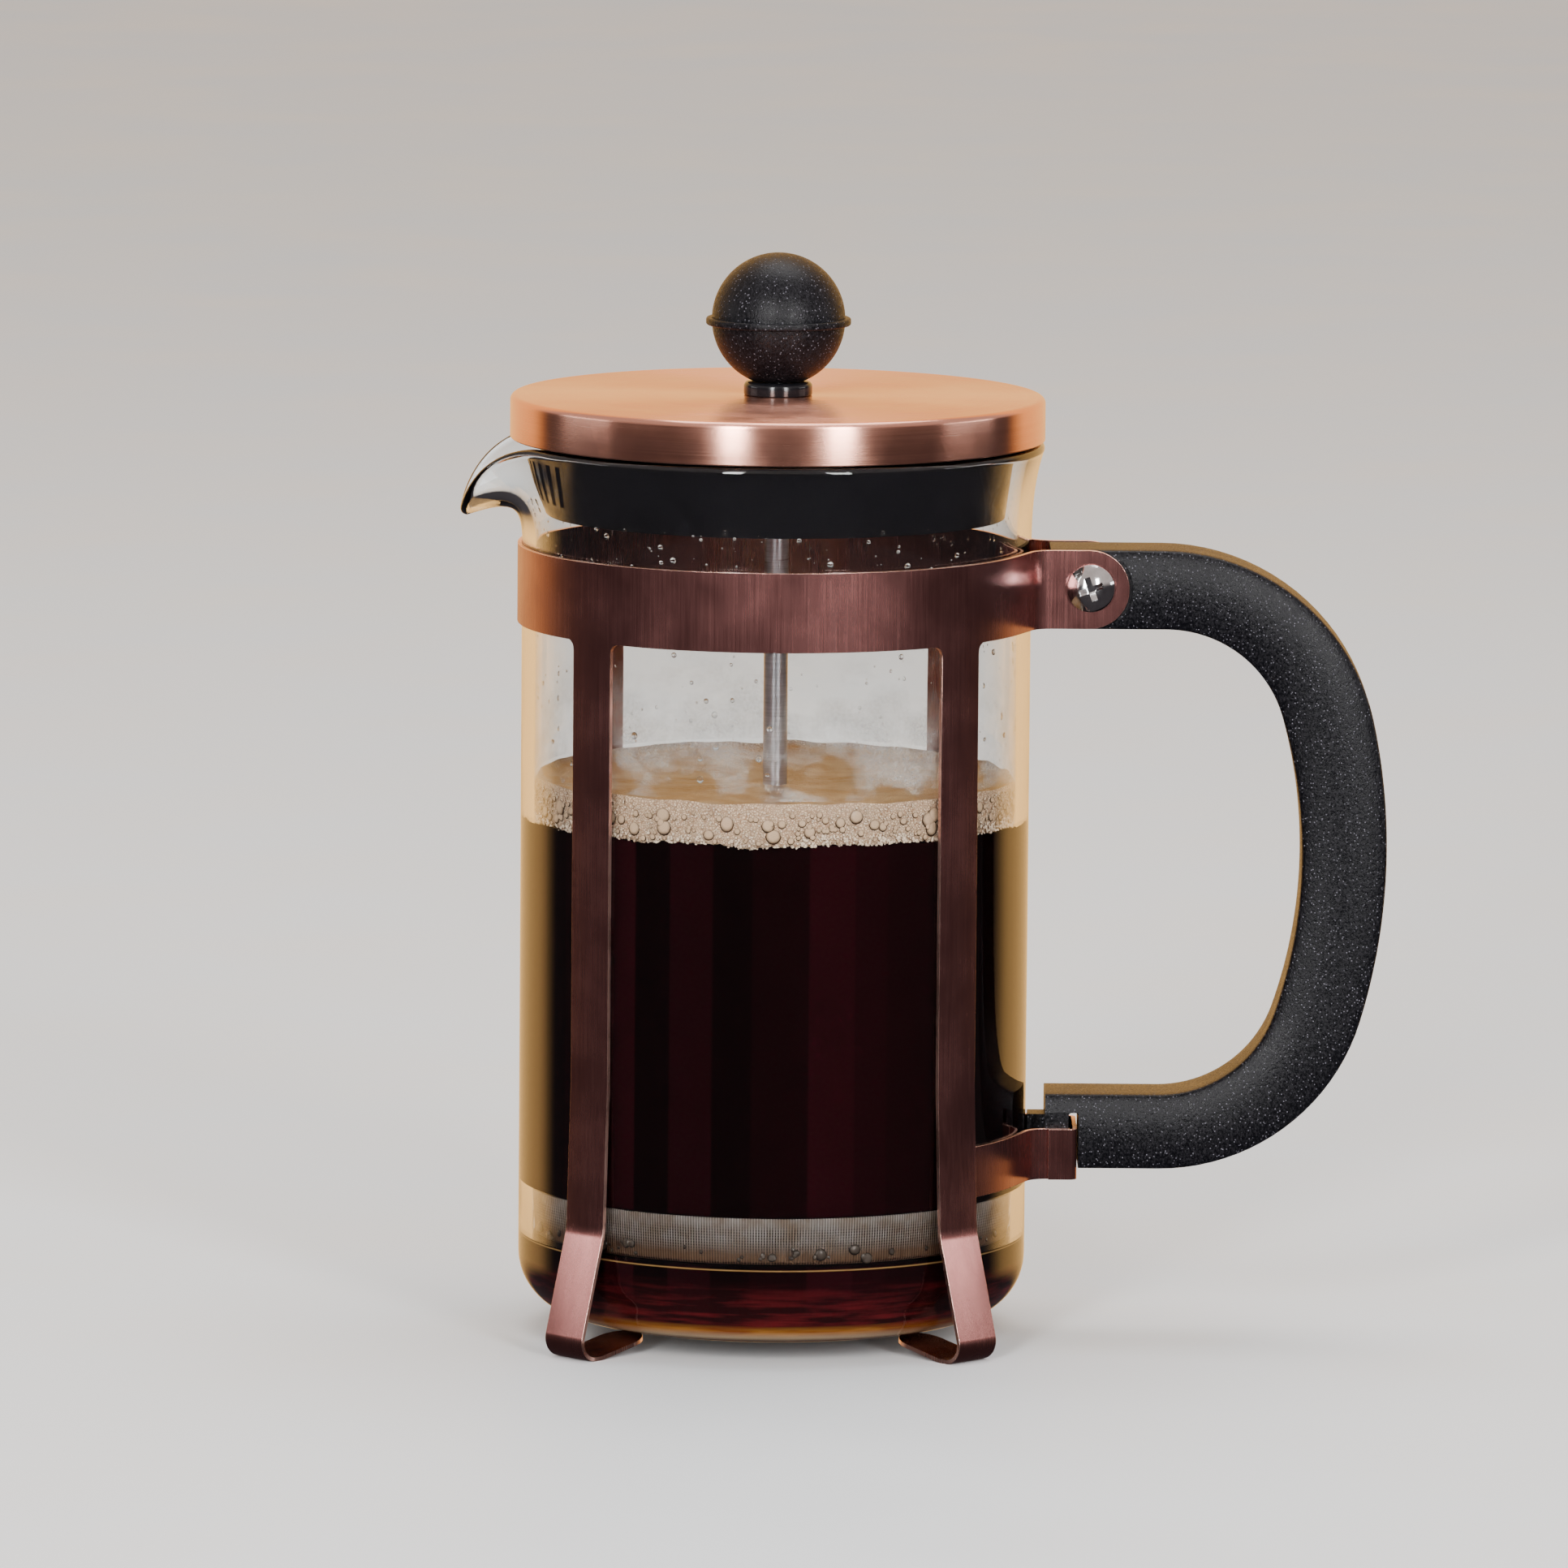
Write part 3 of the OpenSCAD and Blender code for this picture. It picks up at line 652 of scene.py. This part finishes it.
def lug_start(r):
    """Where a lug leaves the circle of a radius, and where its line meets the handle's side."""
    angle = math.radians(EAR_ANGLE)
    leave = Vector((r * math.cos(angle), r * math.sin(angle)))
    run = (leave.y - EAR_Y) / math.cos(angle)
    return tuple(leave), (leave.x + run * math.sin(angle), EAR_Y)


def ear(mesh, side, levels):
    """The end of the band, bent out along the handle, with a round end."""
    leave, corner = lug_start(SHEET_R)
    plan = rounded([(*leave, 0), (*corner, 4), (EAR_X, EAR_Y, 0)], 10)
    plan.insert(1, tuple(Vector(leave).lerp(Vector(plan[1]), 0.5)))
    middle, half = (BAND_Z + BAND_TOP) / 2, (BAND_TOP - BAND_Z) / 2
    columns = [[(x, side * y, z) for z in levels] for x, y in plan]
    for angle in range(10, 91, 10):
        a = math.radians(angle)
        x = EAR_X + half * math.sin(a)
        columns.append([(x, side * EAR_Y, middle + (z - middle) * math.cos(a)) for z in levels])
    patch(mesh, columns)


def strap(mesh, side, tail):
    """A strap from a leg to the handle, ending with the corners of its tail."""
    r = SHEET_R - 0.05
    leave, corner = lug_start(r)
    round_glass = arc((0, 0), r, 45, EAR_ANGLE, 10)
    plan = round_glass + rounded([(*leave, 0), (*corner, 4), *tail], 8)[1:]
    levels = [STRAP_Z[0] + (STRAP_Z[1] - STRAP_Z[0]) * i / 2 for i in range(3)]
    patch(mesh, [[(x, side * y, z) for z in levels] for x, y in plan])


def stamped_frame():
    """Band, legs, ears and straps of one thin sheet."""
    mesh = bmesh.new()
    levels = [BAND_Z + (BAND_TOP - BAND_Z) * i / 4 for i in range(5)]
    columns = []
    for angle in band_angles():
        a = math.radians(angle)
        columns.append([(SHEET_R * math.cos(a), SHEET_R * math.sin(a), z) for z in levels])
    patch(mesh, columns)
    for middle in LEG_ANGLES:
        leg(mesh, middle)
    fold_y = -EAR_Y - SHEET - 0.05
    strap(mesh, 1, [(FOLD_X, EAR_Y, 0.9), (FOLD_X, fold_y, 0.9), (GLASS_R + 3.7, fold_y, 0)])
    strap(mesh, -1, [(FOLD_X - 0.8, EAR_Y, 0)])
    for side in (-1, 1):
        ear(mesh, side, levels)
    bmesh.ops.remove_doubles(mesh, verts=mesh.verts, dist=0.02 * MM)
    made = shaped("stamped_frame", mesh, [copper_frame, copper_edge_highlight], 50)
    thick = made.modifiers.new("sheet", "SOLIDIFY")
    thick.thickness = SHEET * MM
    thick.offset = 0
    thick.use_even_offset = True
    # Slot 1, the lighter copper with the painted highlight, goes on the cut edges and their bevels.
    thick.material_offset_rim = 1
    bevel(made, 0.16, 2, 50, 1)
    settle(made, "stand", "frame")


# ---- Handle ------------------------------------------------------------------------------

ARM_X0 = GLASS_R + 3.1                      # ends of the arms
CREST = 7.4                                 # half the thickness at the crown of a side
DOME_R = 18                                 # radius of that crown
GRIP_OUT = ((GLASS_R - 40.9, 81), 100)      # centre and radius of the grip's outer arc
GRIP_IN = ((GLASS_R - 35.4, 80), 80.5)      # and of its inner arc
TOP_ARM = (117.9, 131)                      # bottom and top of the upper arm
LOW_ARM = (28, 40.4)                        # and of the lower arm
OUTER_LOW_R = 34.5                          # radii of the C's corners
OUTER_TOP_R = 36
INNER_R = 20
EAR_SEAT_R = 7.1


def corner_at(grip, z, r, up):
    """Centre of the corner of radius r inside the grip's arc and tangent to a level edge."""
    cz = z - up * r
    cx = grip[0][0] + math.sqrt((grip[1] - r) ** 2 - (cz - grip[0][1]) ** 2)
    return (cx, cz), r


def c_side(low, grip, top):
    """Points down one side of the C, from the lower arm's end to the upper arm's end."""
    drop = math.degrees(math.atan2(low[0][1] - grip[0][1], low[0][0] - grip[0][0]))
    rise = math.degrees(math.atan2(top[0][1] - grip[0][1], top[0][0] - grip[0][0]))
    low_z, top_z = low[0][1] - low[1], top[0][1] + top[1]
    low_end = [(ARM_X0 + (low[0][0] - ARM_X0) * i / 6, low_z) for i in range(6)]
    top_end = [(ARM_X0 + (top[0][0] - ARM_X0) * i / 6, top_z) for i in range(6)]
    bends = arc(*low, -90, drop, 20) + arc(*grip, drop, rise, 30)[1:] + arc(*top, rise, 90, 20)[1:]
    return low_end + bends + top_end[::-1]


def handle_section(inner, outer):
    """A ring of points round the bar: flat inside and outside, domed on its two sides."""
    inner, outer = Vector(inner), Vector(outer)
    width, edge = (outer - inner).length, 0.55
    reach = width / 2

    def dome(a):
        return CREST - (DOME_R - math.sqrt(DOME_R ** 2 - a * a))

    half = [(reach, 0), (reach, dome(reach) / 2), (reach, dome(reach) - edge)]
    half += [(reach - 0.08, dome(reach) - 0.28), (reach - 0.24, dome(reach) - 0.02)]
    half += [(a * (reach - edge), dome(a * (reach - edge))) for a in (1, 0.85, 0.65, 0.4, 0.15)]
    right = half + [(-a, y) for a, y in half[::-1]]
    ring = right + [(a, -y) for a, y in right[::-1][1:-1]]
    middle, across = (inner + outer) / 2, (outer - inner).normalized()
    return [(*(middle + across * a), y) for a, y in ring]


def handle():
    """The C-shaped grip with its seats for the ears and the slot for the strap."""
    outer_low = corner_at(GRIP_OUT, LOW_ARM[0], OUTER_LOW_R, -1)
    outer_top = corner_at(GRIP_OUT, TOP_ARM[1], OUTER_TOP_R, 1)
    inner_low = corner_at(GRIP_IN, LOW_ARM[1], INNER_R, -1)
    inner_top = corner_at(GRIP_IN, TOP_ARM[0], INNER_R, 1)
    outer = c_side(outer_low, GRIP_OUT, outer_top)
    inner = c_side(inner_low, GRIP_IN, inner_top)
    mesh = bmesh.new()
    rings = []
    for a, b in zip(inner, outer):
        rings.append([mesh.verts.new(Vector((x, y, z)) * MM) for x, z, y in handle_section(a, b)])
    join_rings(mesh, rings, len(rings[0]))
    for ring in (rings[0], rings[-1]):
        mesh.faces.new(ring)
    made = shaped("grip", mesh, [handle_plastic], 50)
    seat, middle = 6.65, (BAND_Z + BAND_TOP) / 2
    ear_gap = [(20, middle - 20), *arc((EAR_X, middle), EAR_SEAT_R, -90, 90, 32), (20, middle + 20)]
    strap_top, slot_end = STRAP_Z[1] + 2.6, FOLD_X + 0.6
    low_seat = [(20, 20), (slot_end, 20), (slot_end, strap_top), (20, strap_top)]
    slot = rounded([(slot_end - 1.65, 20, 0), (slot_end - 1.65, strap_top, 0.7), (slot_end, strap_top, 0.7),
                    (slot_end, 20, 0)])
    for side in (-1, 1):
        cut(made, prism(ear_gap, side * seat, side * 12))
        cut(made, prism(low_seat, side * seat, side * 12))
    cut(made, prism(slot, -12, 12))
    nose_x, nose_end, nose_low, nose_top = GLASS_R + 0.25, ARM_X0 + 1, LOW_ARM[0] + 2, LOW_ARM[0] + 8.5
    nose = [(nose_x, nose_low), (nose_end, nose_low), (nose_end, nose_top), (nose_x, nose_top)]
    cut(made, prism(nose, -2.5, 2.5), "UNION")
    settle(made, "stand", "handle")


def screw():
    """Pan head with a cross recess, at the near end of the screw that joins the ears and the handle."""
    head_r, head_h, crown_r = 3.9, 2.4, 5.4
    shank_r, shank_l = 2, 18
    rim = math.degrees(math.asin(head_r / crown_r))
    crown = arc((0, head_h - crown_r), crown_r, 90, 90 - rim, 14)
    side = [(head_r, crown[-1][1]), (head_r, 0.15), (head_r - 0.15, 0)]
    shank = [(shank_r, 0), (shank_r, -shank_l), (0, -shank_l)]
    made = shaped("pan_head_screw", turned(crown + side + shank, 96), [chrome])
    for turn in (20, 110):
        wedge = [(-2.35, head_h + 0.5), (2.35, head_h + 0.5), (1.9, head_h - 1.1), (0.7, head_h - 1.9),
                 (-0.7, head_h - 1.9), (-1.9, head_h - 1.1)]
        mesh = prism(wedge, -0.5, 0.5)
        bmesh.ops.rotate(mesh, verts=mesh.verts, matrix=Matrix.Rotation(math.radians(turn), 3, "Z"))
        cut(made, mesh)
    ear_face = -(EAR_Y + 0.4)
    place = Matrix.Translation(Vector((SCREW_X, ear_face, SCREW_Z)) * MM)
    made.data.transform(place @ Matrix.Rotation(math.radians(90), 4, "X"))
    bevel(made, 0.08, 2, 35)
    settle(made, "stand", "handle_screw")


# ---- Lid ---------------------------------------------------------------------------------

def lid():
    """Pressed cap with a rolled edge, and the moulded bushing in its middle."""
    hole, r = 4.05, LID_R
    outer = rounded([(hole, LID_Z, 0), (r, LID_Z, 1.0), (r, SKIRT_Z, 0.25), (r - LID_T, SKIRT_Z, 0.25),
                     (r - LID_T, LID_Z - LID_T, 0.4), (hole, LID_Z - LID_T, 0)])
    settle(shaped("lid_shell", turned(outer, 240), [copper_lid], 60), "lid", "lid_cap")
    bush_r, sleeve_r, bore = 5.65, 4.0, 2.05
    foot, top = LID_Z + 0.05, LID_Z + 2.3
    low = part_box("lid_bushing")[0].z / MM
    profile = rounded([(bore, low, 0), (sleeve_r, low, 0.3), (sleeve_r, foot, 0), (bush_r, foot, 0.2),
                       (bush_r, top, 0.8), (bore, top, 0.2), (bore, low + 3, 0)])
    settle(shaped("bushing", turned(profile, 128), [gloss_plastic], 50), "lid_guide", "lid_bushing")


def knob():
    """Two halves of the ball, with the seam's flange on the lower one."""
    flange, thick = KNOB_R + 0.95, 1.2
    centre, bore = (0, KNOB_Z), 3.4

    def on_ball(z):
        return math.degrees(math.asin((z - KNOB_Z) / KNOB_R))

    cap = arc(centre, KNOB_R, on_ball(SEAM_Z), 90, 40)
    roof = KNOB_Z + 1.6
    top = [(0, roof), (bore, roof), (bore, SEAM_Z), *cap[:-1], (0, KNOB_Z + KNOB_R)]
    upper = shaped("knob_upper", turned(top, 192), [knob_plastic], 50)
    settle(upper, "plunger", "knob_top")
    start = max(on_ball(KNOB_FOOT_Z), -89)
    bowl = arc(centre, KNOB_R, start, on_ball(SEAM_Z - thick), 36)
    rim = rounded([(*bowl[-1], 0), (flange, SEAM_Z - thick, 0.35), (flange, SEAM_Z, 0.35),
                   (bore, SEAM_Z, 0)])
    base = [(bore, KNOB_FOOT_Z), *bowl, *rim[1:]]
    lower = shaped("knob_lower", turned(base, 192), [knob_plastic], 50)
    settle(lower, "plunger", "knob_base")


# ---- Filter ------------------------------------------------------------------------------

def filter_screen():
    """The woven screen: a flat disc with a rim turned up round the plate."""
    hole_r, low_r, rim_r = 2.1, BORE_R - 0.6, BORE_R - 0.07
    outside = [(hole_r, MESH_Z, 0), (low_r, MESH_Z, 0.8), (rim_r, MESH_TOP, 0.15)]
    inside = [(rim_r - 0.4, MESH_TOP, 0.15), (low_r - 0.35, MESH_Z + 0.4, 0.5), (hole_r, MESH_Z + 0.4, 0)]
    profile = rounded(outside + inside)
    made = shaped("woven_screen", turned(profile, 288), [weave_steel], 50)
    settle(made, "plunger", "filter_mesh")


def edge_coil():
    """The coil spring that presses the screen's rim outwards."""
    low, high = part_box("edge_spring")
    turns, wire, coil_r = 42, 0.4, 2.4
    ring_r = high.x / MM - wire - coil_r
    height = (low.z + high.z) / 2 / MM
    steps, sides = turns * 14, 8
    mesh = bmesh.new()
    rings = []
    for i in range(steps):
        along, wind = math.tau * i / steps, math.tau * turns * i / steps
        out = Vector((math.cos(along), math.sin(along), 0))
        spoke = out * math.cos(wind) + Vector((0, 0, math.sin(wind)))
        flat = Vector((-out.y, out.x, 0))
        centre = out * ring_r + spoke * coil_r + Vector((0, 0, height))
        ring = []
        for k in range(sides):
            a = math.tau * k / sides
            ring.append(mesh.verts.new((centre + (spoke * math.cos(a) + flat * math.sin(a)) * wire) * MM))
        rings.append(ring)
    join_rings(mesh, rings + rings[:1], sides)
    settle(shaped("coil_spring", mesh, [steel], 80), "plunger", "edge_spring")


# ---- Contents ----------------------------------------------------------------------------

def froth_edge(a):
    """Height where the froth meets the coffee at an angle: broad swells, then single bubbles."""
    out = Vector((math.cos(a), math.sin(a), 0))
    swell = 0.8 * noise.noise(out * 5) + 0.2 * noise.noise(out * 31)
    return COFFEE_Z + swell + 0.35 * noise.noise(out * 95)


def round_section(name, section, look, steps=720):
    """A solid whose section, from axis to axis, is given by a function of the angle."""
    mesh = bmesh.new()
    angles = [math.tau * i / steps for i in range(steps)]
    sections = [section(a) for a in angles]
    rings = []
    for level, (r0, z0) in enumerate(sections[0]):
        if r0 == 0:
            rings.append([mesh.verts.new((0, 0, z0 * MM))])
            continue
        ring = []
        for a, points in zip(angles, sections):
            r, z = points[level]
            ring.append(mesh.verts.new(Vector((r * math.cos(a), r * math.sin(a), z)) * MM))
        rings.append(ring)
    join_rings(mesh, rings, steps)
    settle(shaped(name, mesh, [look], 60), "stand")


def contents():
    """Coffee and froth in the beaker. The coffee touches the glass."""
    touch = BORE_R + 0.04
    inner_r = CORNER_R - WALL
    toe = arc((touch - inner_r, FLOOR_Z - 0.04 + inner_r), inner_r, -90, 0, 10)
    inside = MESH_R - 1.9
    low = [(0, FLOOR_Z + 0.5), (14, FLOOR_Z + 0.38), (26, FLOOR_Z + 0.06), *toe, (touch, MESH_Z - 0.5),
           (inside, MESH_Z - 0.3), (inside, MESH_TOP + 0.1), (touch, MESH_TOP + 0.3)]

    def coffee_section(a):
        edge = froth_edge(a)
        return low + [(touch, edge - 0.1), (touch - 0.5, edge), (0, COFFEE_Z)]

    def froth_section(a):
        edge = froth_edge(a)
        out = Vector((math.cos(a), math.sin(a), 0)) * 6 + Vector((5, 0, 0))
        top = FROTH_Z + 0.5 * noise.noise(out)
        upper = [(0, top - 1.2), (20, top - 1.1), (34, top - 0.8), (37.8, top - 0.5), (39, top + 0.3)]
        face = [(FACE_R, top + 0.7), (FACE_R + 0.1, top + 0.2), (FACE_R + 0.1, edge + 0.6),
                (FACE_R, edge + 0.1)]
        return upper + face + [(38.6, edge - 0.2), (36, COFFEE_Z - 0.5), (0, COFFEE_Z - 0.5)]

    round_section("coffee", coffee_section, coffee)
    round_section("froth", froth_section, froth_look)


def scatter(name, look, count, seed, sizes, span, base=None, flat=0.35, skew=3, detail=2, clear_of=(),
            body="stand"):
    """Small balls pressed flat against the inside of the glass, clear of some that are there already. Their
    heights lie in a span, above a base that may be a function of the angle. Gives their places and sizes."""
    pick = random.Random(seed)
    ball = bmesh.new()
    bmesh.ops.create_icosphere(ball, subdivisions=detail, radius=1)
    corners = [v.co.copy() for v in ball.verts]
    sides = [[v.index for v in f.verts] for f in ball.faces]
    ball.free()
    mesh = bmesh.new()
    rim = mesh.verts.layers.float.new("rim")
    placed = []
    for _ in range(count):
        a = pick.uniform(0, math.tau)
        size = sizes[0] + (sizes[1] - sizes[0]) * pick.random() ** skew
        z = pick.uniform(*span) + (base(a) if base else 0)
        tall = size * pick.uniform(0.9, 1.2)
        if any(math.hypot(BORE_R * (a - b), z - y) < size + other for b, y, other in clear_of):
            continue
        placed.append((a, z, size))
        turn = Matrix.Rotation(a, 3, "Z")
        middle = Vector((BORE_R - 0.01 - size * flat, 0, z))
        verts = [mesh.verts.new(turn @ (middle + Vector((c.x * size * flat, c.y * size, c.z * tall))) * MM)
                 for c in corners]
        for vert, c in zip(verts, corners):
            # Rim grows towards each ball's outline and downwards: a bubble film paints shade where it is
            # high, and a painted highlight on the upper side where it is low.
            vert[rim] = 1 - c.x - 0.3 * c.z
        for side in sides:
            mesh.faces.new([verts[i] for i in side])
    settle(shaped(name, mesh, [look], 60), body)
    return placed


def bubbles_and_drops():
    """Bubbles in the froth and along its edge, and mist and drops on the glass above it."""
    large = scatter("large_bubbles", large_bubble_look, 130, 3, (0.5, 1.4), (1.4, 4.6), froth_edge,
                    flat=0.15, skew=2.2)
    middling = scatter("middling_bubbles", large_bubble_look, 420, 4, (0.3, 0.6), (0.3, 5.2), froth_edge,
                       flat=0.3, skew=1.5, clear_of=large)
    taken = large + middling
    scatter("small_bubbles", small_bubble_look, 2600, 5, (0.14, 0.42), (-0.15, 1.6), froth_edge,
            flat=0.6, skew=1.5, detail=1, clear_of=taken)
    scatter("fine_bubbles", small_bubble_look, 2600, 7, (0.12, 0.30), (1.2, 6.2), froth_edge,
            flat=0.6, skew=2, detail=1, clear_of=taken)
    scatter("filter_bubbles", dark_bubble_look, 130, 17, (0.3, 1.2), (MESH_Z + 0.8, MESH_Z + 2.8),
            body="plunger")
    scatter("low_drops", drop_look, 190, 11, (0.12, 0.6), (FROTH_Z + 4, BAND_Z - 0.5))
    scatter("neck_drops", drop_look, 260, 13, (0.10, 0.6), (BAND_TOP - 3, RIM_Z - 11), flat=0.3)
    r = BORE_R - 0.03
    low, high = FROTH_Z + 1.2, FROTH_Z + MIST_H
    ring = [(r, low), (r, high), (r - 0.05, high), (r - 0.05, low)]
    settle(shaped("mist", turned(ring, 192), [mist_look], 40), "stand")


# ---- Better finishes on the CAD nodes that stay --------------------------------------------

def finish_cad_nodes():
    """Gives every carried-over node a detailed material."""
    looks = {
        "screw_washer": steel,
        "cap_nut": chrome,
        "bushing_clip": steel,
        "strainer_ring": satin_plastic,
        "knob_insert": brass,
        "plunger_rod": rod_steel,
        "rod_collar": steel,
        "spring_plate": steel,
        "cross_plate": steel,
        "cross_hub": steel,
    }
    for name, look in looks.items():
        data = nodes[name].data
        data.materials.clear()
        data.materials.append(look.material)


# ---- Studio ------------------------------------------------------------------------------

def studio():
    """A pale floor, a pale surround and five soft lights."""
    mesh = bmesh.new()
    bmesh.ops.create_grid(mesh, x_segments=1, y_segments=1, size=12)
    floor = shaped("floor", mesh, [pale_floor()])
    surround()
    soft_light("key", (-0.49, -1.42, 0.55), (0.22, 0.9), 26)
    soft_light("fill", (0.68, -1.34, 0.50), (0.26, 0.9), 22)
    soft_light("top", (0.1, 0.3, 1.5), (1.2, 0.9), 16)
    for name, x in (("left", -1.4), ("right", 1.4)):
        soft_light(name, (x, 0, 0.335), (0.7, 0.14), 1.6)


def surround():
    """An even pale surround. Gloss sees it warm behind, bright above, and dark in front."""
    plain, dark = (0.82, 0.82, 0.82), (0.060, 0.052, 0.056)
    bright, warm = (0.72, 0.62, 0.58), (1.75, 0.98, 0.33)
    world = bpy.data.worlds.new("surround")
    world.use_nodes = True
    bpy.context.scene.world = world
    tree = world.node_tree
    heading = add_node(tree, "TexCoord", {}).outputs["Generated"]
    way = add_node(tree, "SeparateXYZ", {"Vector": heading}).outputs

    def ramp(axis, start, end):
        inputs = {"Value": way[axis], "From Min": start, "From Max": end}
        return add_node(tree, "MapRange", inputs, interpolation_type="SMOOTHSTEP").outputs["Result"]

    back = {0: ramp("Y", 0.44, 0.70), 1: ramp("Z", -0.32, -0.13)}
    behind = add_node(tree, "Math", back, operation="MULTIPLY").outputs["Value"]
    seen = mix_colours(tree, ramp("Z", 0.02, 0.30), dark, bright)
    seen = mix_colours(tree, behind, seen, warm)
    bounce = add_node(tree, "LightPath", {}).outputs["Glossy Depth"]
    by_gloss = add_node(tree, "Math", {0: bounce, 1: 0.5}, operation="GREATER_THAN").outputs["Value"]
    background = tree.nodes["Background"]
    tree.links.new(mix_colours(tree, by_gloss, plain, seen), background.inputs["Color"])
    background.inputs["Strength"].default_value = 1.0


def soft_light(name, place, size, power):
    """A rectangular soft light aimed at the middle of the press."""
    light = bpy.data.lights.new(name, "AREA")
    light.shape = "RECTANGLE"
    light.size, light.size_y = size
    light.energy = power
    made = bpy.data.objects.new(name, light)
    made.location = place
    aim = Vector((0.01, 0, 0.09)) - Vector(place)
    made.rotation_euler = aim.to_track_quat("-Z", "Y").to_euler()
    bpy.context.scene.collection.objects.link(made)


def camera():
    """The camera, far in front and above, with a long lens, tipped down and rolled a little."""
    data = bpy.data.cameras.new("camera")
    data.lens = 322.28
    data.sensor_width = 36
    made = bpy.data.objects.new("camera", data)
    turn, tip, roll = math.radians(-0.139), math.radians(7.687), math.radians(0.469)
    swing = Matrix.Rotation(turn, 4, "Z")
    place = Matrix.Translation(Vector((1.511, -2300, 401.43)) * MM)
    aim = Matrix.Rotation(math.pi / 2 - tip, 4, "X") @ Matrix.Rotation(roll, 4, "Z")
    made.matrix_world = swing @ place @ aim
    bpy.context.scene.collection.objects.link(made)
    bpy.context.scene.camera = made


camera()
studio()
beaker()
stamped_frame()
handle()
screw()
lid()
knob()
filter_screen()
edge_coil()
contents()
bubbles_and_drops()
finish_cad_nodes()
